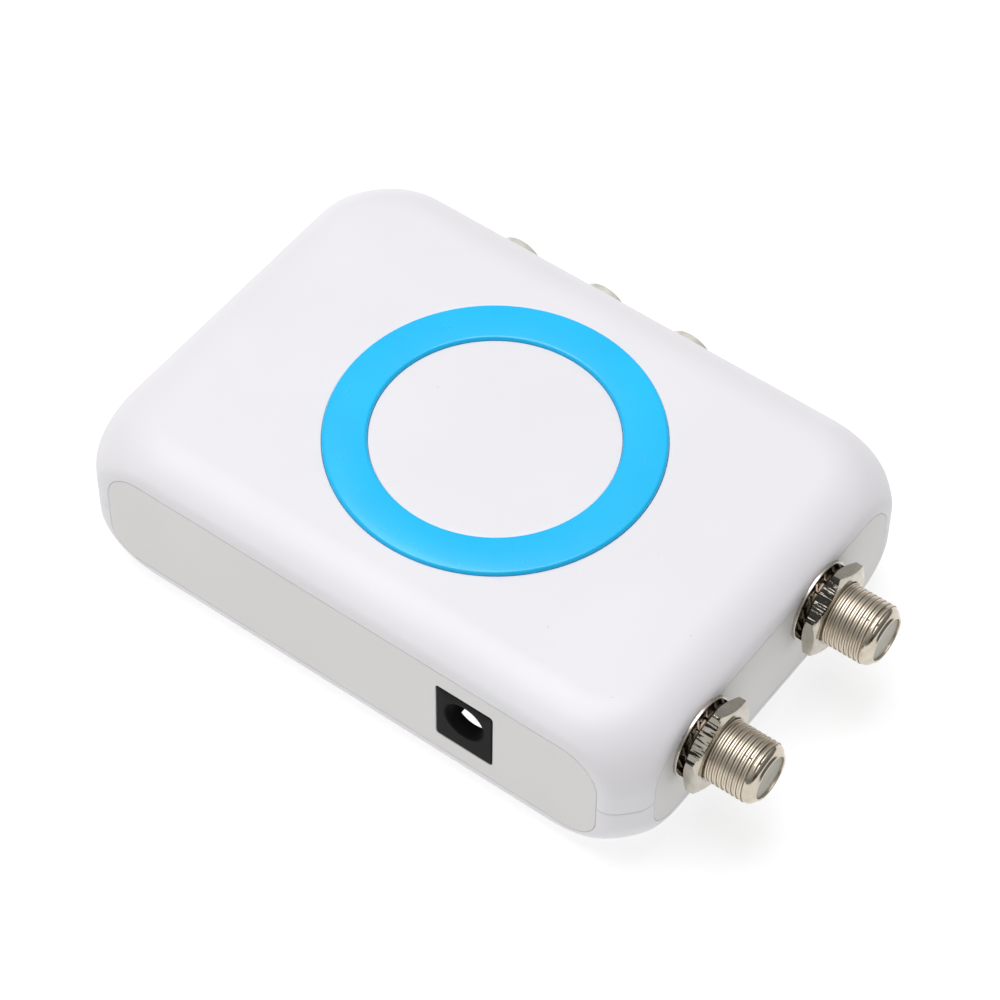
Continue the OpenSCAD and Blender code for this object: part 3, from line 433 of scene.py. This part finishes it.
CURVED_AREA = 0.000012     # in square metres; a larger face is flat, and isn't shaded with its neighbours


def finish(bm, name, material, stands_for=(), body="case", angle=32.0):
    """Makes a piece of a solid: lifted onto the feet, in metres, smooth but for its sharp edges."""
    shift(bm, (0, 0, FOOT_PROUD))
    bmesh.ops.scale(bm, vec=(MM, MM, MM), verts=bm.verts)
    limit = math.radians(angle)
    for face in bm.faces:
        face.smooth = face.calc_area() < CURVED_AREA
    for edge in bm.edges:
        edge.smooth = not (len(edge.link_faces) == 2 and edge.calc_face_angle() > limit)
    piece = as_object(bm, name)
    piece.data.materials.append(material)
    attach(piece, body)
    if stands_for:
        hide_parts(*stands_for)
    return piece


# Case

SEAM_HEIGHTS = [-0.45, -0.2, -0.09, -0.03, 0.03, 0.09]      # above the seam
SEAM_EASE = [0.0, 0.02, 0.07, 0.17, 0.05, 0.0]              # how far the shells are drawn in there
SEAM_ROWS = np.array([0.03, 0.09, 0.2, 0.45, 1.0, 2.0])     # distances of the grid's rows from the seam
TINY = 1e-6


def soft_limit(value, limit, blend):
    """The lower of value and limit, with a soft change between them."""
    share = np.clip(0.5 + 0.5 * (limit - value) / blend, 0, 1)
    return limit * (1 - share) + value * share - blend * share * (1 - share)


def case_points(co):
    """Moves points of the box onto the rounded case with its four flats."""
    sign = np.where(co[:, :2] < 0, -1.0, 1.0)
    plan = np.abs(co[:, :2])
    over = plan - (np.array(BODY[:2]) / 2 - CORNER)
    reach = np.max(over, axis=1)
    in_corner = (over > 0).all(axis=1)
    length = np.where(in_corner, np.hypot(over[:, 0], over[:, 1]), 1.0)
    normal = np.where(over[:, :1] > over[:, 1:], [[1.0, 0.0]], [[0.0, 1.0]])
    normal = np.where(in_corner[:, None], over / length[:, None], normal)
    plan = np.where(in_corner[:, None], plan - over + over * (reach / length)[:, None], plan)
    z = co[:, 2].copy()
    for edge, rise, way in ((TOP_EDGE, z - (BODY[2] - TOP_EDGE), 1.0), (LOW_EDGE, LOW_EDGE - z, -1.0)):
        out = edge - (CORNER - reach)
        both = (out > 0) & (rise > 0)
        scale = np.where(both, np.maximum(out, rise) / np.where(both, np.hypot(out, rise), 1.0), 1.0)
        plan = plan - normal * np.where(both, out - out * scale, 0.0)[:, None]
        z = z + way * np.where(both, rise * scale - rise, 0.0)
    ease = np.interp(co[:, 2] - SEAM, SEAM_HEIGHTS, SEAM_EASE)
    plan[:, 0] = soft_limit(plan[:, 0], END_PLANE, FLAT_EASE)
    plan[:, 1] = soft_limit(plan[:, 1], SIDE_PLANE, FLAT_EASE)
    plan = plan - normal * ease[:, None]
    return np.column_stack([plan * sign, z])


def lines(half, fine, middle):
    """Grid lines from -half to half, close together in the outer corner zones."""
    inner = half - CORNER
    zone = np.linspace(inner, half, fine + 1)
    return np.concatenate([-zone[::-1], np.linspace(-inner, inner, middle + 1)[1:-1], zone])


def point_array(bm):
    return np.array([v.co for v in bm.verts])


def place_points(bm, points):
    for vert, point in zip(bm.verts, points):
        vert.co = point


def case_box(places):
    """A box with grid lines at the given places along each axis."""
    bm = solid()
    bmesh.ops.create_cube(bm, size=1.0)
    for axis, spots in enumerate(places):
        along = [e for e in bm.edges if abs((e.verts[0].co - e.verts[1].co)[axis]) > 0.5]
        bmesh.ops.subdivide_edges(bm, edges=along, cuts=len(spots) - 2, use_grid_fill=True)
    co = point_array(bm) + 0.5
    for axis, spots in enumerate(places):
        co[:, axis] = np.interp(co[:, axis] * (len(spots) - 1), np.arange(len(spots)), spots)
    place_points(bm, co)
    return bm


def case_skin(upper):
    """One shell's outer surface as a closed solid, its face at the seam a single one."""
    xs, ys = lines(BODY[0] / 2, 44, 40), lines(BODY[1] / 2, 44, 28)
    if upper:
        zs = np.concatenate([SEAM + SEAM_ROWS, np.linspace(BODY[2] - TOP_EDGE, BODY[2], 29)])
    else:
        zs = np.concatenate([np.linspace(0, LOW_EDGE, 25), SEAM - SEAM_ROWS[::-1]])
    bm = case_box((xs, ys, zs))
    co = point_array(bm)
    inside = (np.abs(co[:, 0]) < BODY[0] / 2 - TINY) & (np.abs(co[:, 1]) < BODY[1] / 2 - TINY)
    seam_row = zs[0] if upper else zs[-1]
    doomed = inside & (np.abs(co[:, 2] - seam_row) < TINY)
    place_points(bm, case_points(co))
    bmesh.ops.delete(bm, geom=[v for v, gone in zip(list(bm.verts), doomed) if gone], context="VERTS")
    bmesh.ops.contextual_create(bm, geom=[e for e in bm.edges if e.is_boundary])
    face_outwards(bm)
    return bm


def flat_edge(edge, inset, height=None):
    """Height at which a rounded edge meets a flat: the low edge, or the top one of a body of this height."""
    rise = math.sqrt(edge ** 2 - (edge - inset) ** 2)
    return height - edge + rise if height else edge - rise


def panel_face(length, inset, grow):
    """Upright face of a panel's outline on the plane Y = 0."""
    low = flat_edge(LOW_EDGE, inset) + PANEL_MARGIN - grow
    high = flat_edge(TOP_EDGE, inset, BODY[2]) - PANEL_MARGIN + grow
    bm = solid()
    bmesh.ops.create_grid(bm, x_segments=1, y_segments=1, size=0.5)
    bmesh.ops.scale(bm, vec=(length + 2 * grow, high - low, 1), verts=bm.verts)
    for way, radius in ((1, PANEL_TOP + grow), (-1, PANEL_LOW + grow)):
        corners = [v for v in bm.verts if abs(v.co.y - way * (high - low) / 2) < TINY]
        bmesh.ops.bevel(bm, geom=corners, affect="VERTICES", offset=radius, offset_type="OFFSET", segments=12,
                        profile=0.5, material=-1)
    swing(bm, math.pi / 2, "X")
    shift(bm, (0, 0, (high + low) / 2))
    bm.faces.ensure_lookup_table()
    return bm


def push(bm, face, vec, inset=0.0):
    """Extrudes a face by vec, or insets it and then moves it; returns the moved face."""
    if inset:
        bmesh.ops.inset_region(bm, faces=[face], use_boundary=True, use_even_offset=True, thickness=inset,
                               depth=0.0)
    else:
        inner = all(len(edge.link_faces) == 2 for edge in face.edges)
        made = bmesh.ops.extrude_face_region(bm, geom=[face])["geom"]
        if inner:
            bmesh.ops.delete(bm, geom=[face], context="FACES_ONLY")
        face = next(g for g in made if isinstance(g, bmesh.types.BMFace))
    bmesh.ops.translate(bm, verts=face.verts, vec=vec)
    return face


# For each panel: length, inset, turn from the front in degrees, and the axis and place of its plane
SIDES = {
    "front": (FRONT_PANEL, SIDE_INSET, 0, 1, -SIDE_PLANE),
    "rear": (FRONT_PANEL, SIDE_INSET, 180, 1, SIDE_PLANE),
    "right": (END_PANEL, END_INSET, 90, 0, END_PLANE),
    "left": (END_PANEL, END_INSET, -90, 0, -END_PLANE)}


def on_side(bm, side):
    """Takes what is built on the plane Y = 0, its back towards +Y, to a side of the case."""
    turn, axis, plane = SIDES[side][2:]
    swing(bm, math.radians(turn), "Z")
    shift(bm, (0, plane, 0) if axis else (plane, 0, 0))
    return bm


def panel_recess(side):
    """Cutter for a panel's recess, with a rounded lip at the mouth."""
    length, inset = SIDES[side][:2]
    lip, gap, in_front = 0.16, 0.03, 1.5
    bm = panel_face(length, inset, gap + lip)
    shift(bm, (0, -in_front, 0))
    face = push(bm, bm.faces[0], (0, in_front, 0))
    last = 0.0
    for angle in (math.radians(30), math.radians(60), math.radians(90)):
        step = lip * (math.sin(angle) - math.sin(last))
        face = push(bm, face, (0, lip * (math.cos(last) - math.cos(angle)), 0), step)
        last = angle
    push(bm, face, (0, RECESS_DEPTH, 0))
    face_outwards(bm)
    return on_side(bm, side)


def pocket(x, y, radius, depth, lip=0.15):
    """Cutter for a round pocket in the underside."""
    mouth = radius + lip
    return revolve([(0, -1), (mouth, -1), (mouth, 0)] + arc((mouth, lip), lip, -90, -180, 3)[1:]
                   + [(radius, depth), (0, depth)], at=(x, y, 0), steps=48)


def case_hollow():
    """The space inside the shells: the case itself, made smaller, with room for the panels' seats."""
    bm = case_box([np.linspace(-BODY[0] / 2, BODY[0] / 2, 61), np.linspace(-BODY[1] / 2, BODY[1] / 2, 47),
                   np.linspace(0, BODY[2], 21)])
    place_points(bm, case_points(point_array(bm)))
    bmesh.ops.scale(bm, vec=(1 - 2 * WALL / BODY[0], 1 - 2 * WALL / BODY[1], 1 - 2 * ROOF / BODY[2]),
                    verts=bm.verts)
    shift(bm, (0, 0, ROOF))
    face_outwards(bm)
    return bm


def wall_openings():
    """What passes through the walls behind the panels."""
    x, y, z = JACK
    made = [block((x - 4.9, y + 2, z - 6.35), (x + 4.9, y + 9, z + 4.95))]
    made += [bore(4.6, 41, 47, "x", (0, at, AERIAL_Z)) for at in AERIAL_Y]
    made += [bore(4.6, 27, 33, "y", (at, 0, PHONO_Z)) for at in PHONO_X]
    x, z = SWITCH
    return made + [block((x - 5.6, 27, z - 3.2), (x + 5.6, 33, z + 3.2))]


def ring_seat():
    """Cutter for the ring's seat, with a rounded lip on both sides."""
    top, depth, gap, lip = BODY[2], 0.8, 0.06, 0.12
    outer, inner = RING_OUTER + gap, RING_INNER - gap
    profile = [(inner, top - depth), (outer, top - depth), (outer, top - lip)]
    profile += arc((outer + lip, top - lip), lip, 180, 90, 3)[1:]
    profile += [(outer + lip, top + 1), (inner - lip, top + 1)]
    profile += arc((inner - lip, top - lip), lip, 90, 0, 3)
    return revolve(profile, at=(0, RING_Y, 0), steps=144, closed=True)


def hollowed(shell):
    return cut(cut(shell, case_hollow()), absorb(*wall_openings()))


def make_shells():
    upper = cut(case_skin(True), absorb(ring_seat(), *[panel_recess(s) for s in SIDES]))
    finish(hollowed(upper), "upper_shell_skin", WHITE, ["upper_shell"])
    pockets = [pocket(x, y, 2.5, 3.4) for x, y in SCREWS] + [pocket(x, y, 4.7, 0.5) for x, y in FEET]
    lower = cut(case_skin(False), absorb(*[panel_recess(s) for s in SIDES], *pockets))
    finish(hollowed(lower), "lower_shell_skin", WHITE, ["lower_shell"])


def panel_openings(side):
    """Cutters for what comes through a panel; the aerial sockets' flat washers cover theirs."""
    if side == "front":
        x, y, z = JACK
        opening = block((x - 4.85, y - 2, z - 6.3), (x + 4.85, y + 4, z + 4.9))
        bevel(opening, sharp_edges(opening, 60, runs_along(1)), 0.55, 4)
        return [opening]
    if side == "rear":
        x, z = SWITCH
        return [bore(4.55, 30, 36, "y", (at, 0, PHONO_Z), 64) for at in PHONO_X] \
            + [block((x - 2.7, 30, z - 1.6), (x + 2.7, 38, z + 1.6))]
    return []


def make_panels():
    for side, (length, inset, _, axis, plane) in SIDES.items():
        bm = panel_face(length, inset, 0.0)
        push(bm, bm.faces[0], (0, PANEL_THICKNESS, 0))
        face_outwards(bm)
        on_side(bm, side)
        tools = panel_openings(side)
        if tools:
            bm = cut(bm, absorb(*tools))
        rim = sharp_edges(bm, 60, lambda edge: all(abs(v.co[axis] - plane) < 1e-4 for v in edge.verts))
        bevel(bm, rim, 0.12)
        finish(bm, side + "_panel_skin", PANEL_PAINTED_SHADE, [side + "_panel"])


def make_ring():
    low, top, rounding = 25.25, BODY[2] + 0.55, 0.5
    profile = [(RING_INNER, low)]
    profile += arc((RING_INNER + rounding, top - rounding), rounding, 180, 90, 6)
    profile += arc((RING_OUTER - rounding, top - rounding), rounding, 90, 0, 6)
    profile += [(RING_OUTER, low)]
    ring = revolve(profile, at=(0, RING_Y, 0), steps=192, closed=True)
    finish(ring, "accent_ring_skin", BLUE, ["accent_ring"], angle=60)


# Aerial sockets

def thread_turns():
    """The turns of the thread round +Z, closed at both ends and bored."""
    start, turns, per_turn = 51.6, 8.6, 72
    root, crest = THREAD_ROOT, THREAD_CREST
    profile = [(0.0, root), (0.11, root), (0.15, root + 0.02), (0.25, crest - 0.05), (0.29, crest - 0.01),
               (0.397, crest), (0.504, crest - 0.01), (0.544, crest - 0.05), (0.644, root + 0.02),
               (0.684, root), (THREAD_PITCH, root)]
    bm = solid()
    points = [bm.verts.new((r, 0, start + h)) for h, r in profile]
    edges = [bm.edges.new(pair) for pair in zip(points, points[1:])]
    bmesh.ops.spin(bm, geom=points + edges, cent=(0, 0, 0), axis=(0, 0, 1),
                   dvec=(0, 0, THREAD_PITCH / per_turn), angle=2 * math.pi * turns, steps=int(turns * per_turn),
                   use_merge=False, use_normal_flip=False, use_duplicate=False)
    bmesh.ops.remove_doubles(bm, verts=bm.verts, dist=0.002)
    bmesh.ops.holes_fill(bm, edges=[e for e in bm.edges if e.is_boundary], sides=0)
    face_outwards(bm)
    bm = cut(bm, bore(BARREL_BORE, 50, 61, steps=96))
    bmesh.ops.remove_doubles(bm, verts=bm.verts, dist=0.003)
    return bm


def make_barrels():
    shank = [(BARREL_BORE, BARREL_START), (3.5, BARREL_START), (3.5, 43.7), (5.0, 43.7), (5.0, 44.9),
             (4.48, 44.9), (4.48, 52.0), (BARREL_BORE, 52.0)]
    nose = [(4.0, NOSE_START), (4.35, 57.9), (4.52, 58.15)] + arc((3.26, 58.58), (1.34, 1.3), 0, 66, 12) \
        + arc((3.5, 59.83), (0.22, 0.27), 55, 90, 3) + arc((3.42, 59.98), (0.12, 0.12), 90, 180, 3) \
        + [(3.3, NOSE_START)]
    end_face = [(0, 59.7), (0.2, 59.7), (0.27, FACE_PLACE), (FACE_RADIUS, FACE_PLACE),
                (FACE_RADIUS, NOSE_START), (3.1, NOSE_START), (3.1, BARREL_START), (0.97, BARREL_START),
                (0.97, 59.63), (0, 59.63)]
    bodies = []
    for name, y in zip(("front", "rear"), AERIAL_Y):
        at = (0, y, AERIAL_Z)
        thread = thread_turns()
        point_along(thread, "x", at)
        absorb(thread, revolve(shank, "x", at, closed=True))
        bodies.append(finish(thread, "aerial_thread_" + name, THREAD, angle=70))
        bodies.append(finish(revolve(nose, "x", at, closed=True), "aerial_nose_" + name, NOSE, angle=50))
        face = finish(revolve(end_face, "x", at), "aerial_end_" + name, END_FACE, angle=30)
        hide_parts("aerial_insulators")
    for piece in bodies:
        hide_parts("aerial_bodies")


def ring_section(inner, outer, low, high, edge):
    """Closed section of a ring with rounded edges."""
    corners = ((outer - edge, high - edge, 90), (outer - edge, low + edge, 0),
               (inner + edge, low + edge, -90), (inner + edge, high - edge, 180))
    return [point for r, h, start in corners for point in arc((r, h), edge, start, start - 90, 3)]


def washer_teeth(middle):
    """The twisted teeth of a lock washer, round +Z at this height."""
    count, twist, start, reach_out, width, thickness = 18, math.radians(34), 5.1, 0.9, 1.3, 0.42
    tooth = solid()
    bmesh.ops.create_grid(tooth, x_segments=7, y_segments=3, size=0.5)
    for v in tooth.verts:
        reach = v.co.x + 0.5
        turned = twist * min(1.0, reach * 2.2)
        across = v.co.y * width
        v.co = (start + reach_out * reach, across * math.cos(turned), middle + across * math.sin(turned))
    bmesh.ops.solidify(tooth, geom=tooth.faces, thickness=thickness)
    face_outwards(tooth)
    bevel(tooth, sharp_edges(tooth, 60), 0.05, 2)
    bmesh.ops.spin(tooth, geom=tooth.verts[:] + tooth.edges[:] + tooth.faces[:], cent=(0, 0, 0),
                   axis=(0, 0, 1), dvec=(0, 0, 0), angle=2 * math.pi * (count - 1) / count, steps=count - 1,
                   use_merge=False, use_normal_flip=False, use_duplicate=True)
    return tooth


def make_washers():
    hole, middle, half_thick = 4.55, 49.55, 0.225
    flat_section = ring_section(hole, 6.3, 48.5, 49.0, 0.1)
    flat = absorb(*[revolve(flat_section, "x", (0, y, AERIAL_Z), closed=True) for y in AERIAL_Y])
    finish(flat, "flat_washer_pair", WASHER, ["flat_washers"])
    both = []
    for y in AERIAL_Y:
        section = ring_section(hole, 5.35, middle - half_thick, middle + half_thick, 0.05)
        bm = absorb(revolve(section, closed=True, steps=72), washer_teeth(middle))
        point_along(bm, "x", (0, y, AERIAL_Z))
        both.append(bm)
    finish(absorb(*both), "lock_washer_pair", SPRING_STEEL, ["lock_washers"])


def make_nuts():
    back, thick, across_flats, turns = 50.1, 2.2, 12.7, (4.0, 1.0)
    hole, mouth, mouth_depth, chamfer, chamfer_angle = 4.6, 5.05, 0.42, 6.1, 25
    corner = across_flats / 2 / math.cos(math.pi / 6)
    ridge = chamfer + thick / 2 / math.tan(math.radians(chamfer_angle))
    both = []
    for y, turn in zip(AERIAL_Y, turns):
        bm = solid()
        bmesh.ops.create_circle(bm, cap_ends=True, radius=corner, segments=6,
                                matrix=Matrix.Rotation(math.radians(turn + 30), 4, "Z"))
        bm.faces.ensure_lookup_table()
        push(bm, bm.faces[0], (0, 0, thick))
        face_outwards(bm)
        bevel(bm, sharp_edges(bm, 50, runs_along(2)), 0.12)
        chamfers = revolve([(0, -0.001), (chamfer, -0.001), (ridge, thick / 2), (chamfer, thick + 0.001),
                            (0, thick + 0.001)], steps=122)
        bm = cut(bm, chamfers, "INTERSECT")
        bm = cut(bm, revolve([(0, -1), (mouth, -1), (mouth, 0), (hole, mouth_depth),
                              (hole, thick - mouth_depth), (mouth, thick), (mouth, thick + 1), (0, thick + 1)],
                             steps=72))
        point_along(bm, "x", (back, y, AERIAL_Z))
        both.append(bm)
    finish(absorb(*both), "hex_nut_pair", NUT, ["hex_nuts"], angle=8)


# Power socket

def make_power_socket():
    x, y, z = JACK
    hole, mouth, depth = 3.25, 3.45, 10.0
    bm = block((x - 4.75, y, z - 6.2), (x + 4.75, y + 14.2, z + 4.8))
    bevel(bm, sharp_edges(bm, 60, runs_along(1)), 0.5, 4)
    bevel(bm, sharp_edges(bm, 60), 0.2)
    bm = cut(bm, revolve([(0, -1), (mouth, -1), (mouth, 0), (hole, 0.2), (hole, depth), (0, depth)],
                         "y", JACK))
    finish(bm, "power_socket_skin", SOCKET, ["power_socket_body"], angle=30)
    # Its glow is a painted highlight deep in the hole.
    liner = revolve([(3.2, 2.5), (hole, 2.5), (hole, 3.62), (3.2, 3.62)], "y", JACK, closed=True)
    liner = cut(liner, block((x - 4, y, z - 4), (x - 2.25, y + 12, z + 4)))
    finish(liner, "power_socket_liner", PAINTED_GLINT_LINER)
    pin = revolve([(0, 2.4), (0.35, 2.46), (0.68, 2.65), (0.92, 2.95), (1.05, 3.45), (1.05, 10.2), (0, 10.2)],
                  "y", JACK, 48)
    finish(pin, "power_socket_pin_skin", PIN_METAL, ["power_socket_pin"], angle=50)


# Phono sockets

def phono_set(profile, steps=96):
    """A piece of the three phono sockets, spun from one profile."""
    return absorb(*[revolve(profile, "y", (x, 0, PHONO_Z), steps, closed=True) for x in PHONO_X])


def make_phono_sockets():
    root, tip, lip = 27.0, 39.4, 0.12
    sleeve = [(3.75, root), (4.45, root), (4.45, 34.1), (4.40, 34.2), (4.15, 34.25)]
    sleeve += arc((4.03, tip - lip), lip, 0, 90, 3) + arc((3.87, tip - lip), lip, 90, 180, 3)
    finish(phono_set(sleeve), "phono_sleeve_set", PHONO_NICKEL, ["phono_sleeves"])
    face = tip - 0.7
    groove = face - 0.35
    insulator = [(1.95, root), (3.72, root), (3.72, face), (3.45, face), (3.35, groove), (2.75, groove),
                 (2.65, face), (1.95, face)]
    for name, x, colour in zip(("yellow", "white", "red"), PHONO_X, (YELLOW, PALE, RED)):
        bm = revolve(insulator, "y", (x, 0, PHONO_Z), closed=True)
        finish(bm, "phono_insulator_" + name + "_skin", colour, ["phono_insulator_" + name], angle=25)
    contact = [(1.6, 20.0), (1.93, 20.0), (1.93, 38.0), (1.85, 38.15), (1.68, 38.15), (1.6, 38.05)]
    finish(phono_set(contact, 48), "phono_contact_set", BRASS)


# Channel switch

def number_mark(text, x, z):
    """A number on the rear panel."""
    letter = bpy.data.curves.new("number", "FONT")
    letter.body, letter.size, letter.extrude = text, 2.9, 0.02
    letter.align_x = letter.align_y = "CENTER"
    drawn = bpy.data.objects.new("number", letter)
    bpy.context.scene.collection.objects.link(drawn)
    bm = evaluated_solid(drawn)
    bpy.data.objects.remove(drawn)
    bmesh.ops.remove_doubles(bm, verts=bm.verts, dist=0.0001)
    swing(bm, math.pi / 2, "X")
    swing(bm, math.pi, "Z")
    shift(bm, (x, SIDE_PLANE + 0.005, z))
    finish(bm, "switch_number_" + text, MARK)


def make_switch():
    x, z = SWITCH
    left = x - 1.0
    groove_pitch, groove_half = 0.65, 0.16
    bm = block((left - 1.3, 30.7, z - 1.2), (left + 1.3, 35.7, z + 1.2))
    bevel(bm, sharp_edges(bm, 60), 0.18, 2)
    grooves = []
    for k in (-1, 0, 1):
        middle = left + k * groove_pitch
        grooves.append(block((middle - groove_half, 35.4, z - 3), (middle + groove_half, 36.5, z + 3)))
    bm = cut(bm, absorb(*grooves))
    absorb(bm, block((left - 2.65, 28.25, z - 1.85), (left + 2.65, 30.85, z + 1.85)))
    finish(bm, "channel_slider_skin", BLACK, ["channel_switch_slider"], body="channel_slider")
    number_mark("3", x - 4.3, z)
    number_mark("4", x + 4.3, z)


# Underside

def make_fasteners():
    half_slot, slot_reach = 0.3, 1.25
    screw = [(0, 1.6)] + arc((0, 3.9), 2.3, -90, -25, 6)[1:] \
        + [(2.3, 3.0), (2.3, 3.4), (1.3, 3.4), (1.3, 17.4), (0, 17.4)]
    heads = []
    for x, y in SCREWS:
        bm = revolve(screw, steps=48)
        for a, b in ((slot_reach, half_slot), (half_slot, slot_reach)):
            bm = cut(bm, block((-a, -b, 1), (a, b, 2.6)))
        swing(bm, 0.37 * x + 0.2 * y, "Z")
        shift(bm, (x, y, 0))
        heads.append(bm)
    finish(absorb(*heads), "case_screw_set", SCREW, ["case_screws"])
    foot = [(0, -FOOT_PROUD), (3.9, -FOOT_PROUD)] + arc((4.1, -0.4), 0.4, -90, 0, 4) + [(4.5, 0.5), (0, 0.5)]
    feet = [revolve(foot, at=(x, y, 0), steps=64) for x, y in FEET]
    finish(absorb(*feet), "rubber_foot_set", RUBBER, ["rubber_feet"])


# Nodes of the model that keep their own shape

CARRIED = {
    "circuit_board": BOARD, "board_screws": SCREW, "power_socket_spring": BRASS, "aerial_contacts": BRASS,
    "phono_block": BLACK, "phono_contacts": BRASS, "channel_switch_case": TIN, "screening_can": TIN,
    "screening_can_lid": TIN, "radio_chip": CHIP, "tuning_coils": TIN, "crystal": TIN, "sound_chip": CHIP,
    "capacitors": SLEEVE, "voltage_regulator": CHIP, "choke": FERRITE}


def dress_nodes():
    for name, material in CARRIED.items():
        nodes[name].data.materials.clear()
        nodes[name].data.materials.append(material)


# Studio, in metres

def flat_sheet(width, depth):
    bm = solid()
    bmesh.ops.create_grid(bm, x_segments=1, y_segments=1, size=0.5)
    bmesh.ops.scale(bm, vec=(width, depth, 1), verts=bm.verts)
    return bm


def area_light(name, place, size, power, colour):
    """A rectangular light that points at the origin."""
    data = bpy.data.lights.new(name, "AREA")
    data.shape, data.size, data.size_y, data.energy, data.color = "RECTANGLE", size[0], size[1], power, colour
    lamp = bpy.data.objects.new(name, data)
    lamp.location = place
    lamp.rotation_euler = Vector(place).to_track_quat("Z", "Y").to_euler()
    bpy.context.scene.collection.objects.link(lamp)


def reflected_card(name, place, size, colour):
    """A plain card beside the camera that shows only in reflections and shadows."""
    bm = flat_sheet(*size)
    turn = Vector(place).to_track_quat("Z", "Y").to_matrix()
    bmesh.ops.rotate(bm, cent=(0, 0, 0), matrix=turn, verts=bm.verts)
    shift(bm, place)
    card = as_object(bm, name)
    board = Finish(name, Roughness=0.8, Specular_IOR_Level=0.0)
    board.put("Base Color", board.blend(board.noise(0.05), colour, toned(colour, 1.6)))
    card.data.materials.append(board.material)
    card.visible_camera = card.visible_diffuse = False


def make_floor():
    floor = as_object(flat_sheet(6.0, 6.0), "floor")
    pale = Finish("floor_white", Roughness=0.9, Specular_IOR_Level=0.0, Emission_Color=(1, 1, 1, 1),
                  Emission_Strength=0.66)
    pale.put("Base Color", pale.blend(pale.noise(0.5), (0.44, 0.44, 0.44, 1), (0.46, 0.46, 0.46, 1)))
    floor.data.materials.append(pale.material)


def make_surroundings():
    """Even white light that fades to the right and downwards."""
    # Axis, then from, to, and the strengths there
    x_fade, z_fade = (0, (-0.6, 0.9, 1.0, 0.5)), (2, (0.0, 1.0, 0.16, 0.85))
    world = bpy.data.worlds.new("studio")
    world.use_nodes = True
    tree = world.node_tree
    spot = tree.nodes.new("ShaderNodeTexCoord")
    parts = tree.nodes.new("ShaderNodeSeparateXYZ")
    tree.links.new(spot.outputs["Generated"], parts.inputs[0])
    fades = []
    for axis, values in (x_fade, z_fade):
        fade = tree.nodes.new("ShaderNodeMapRange")
        tree.links.new(parts.outputs[axis], fade.inputs[0])
        for place, value in enumerate(values, start=1):
            fade.inputs[place].default_value = value
        fades.append(fade.outputs[0])
    both = tree.nodes.new("ShaderNodeMath")
    both.operation = "MULTIPLY"
    for socket, fade in zip(both.inputs, fades):
        tree.links.new(fade, socket)
    background = tree.nodes["Background"]
    background.inputs["Color"].default_value = (1.0, 1.0, 1.0, 1.0)
    tree.links.new(both.outputs[0], background.inputs["Strength"])
    bpy.context.scene.world = world


def make_studio():
    make_floor()
    make_surroundings()
    area_light("key", (-0.22, 0.0, 1.3), (1.1, 0.9), 11.7, (1.0, 0.985, 1.01))
    reflected_card("brown_card", (0.79, -0.48, 0.22), (0.42, 0.26), (0.045, 0.016, 0.005, 1))
    bpy.context.scene.view_settings.view_transform = "Standard"


make_shells()
make_panels()
make_ring()
make_barrels()
make_washers()
make_nuts()
make_power_socket()
make_phono_sockets()
make_switch()
make_fasteners()
dress_nodes()
make_studio()

bpy.context.view_layer.update()
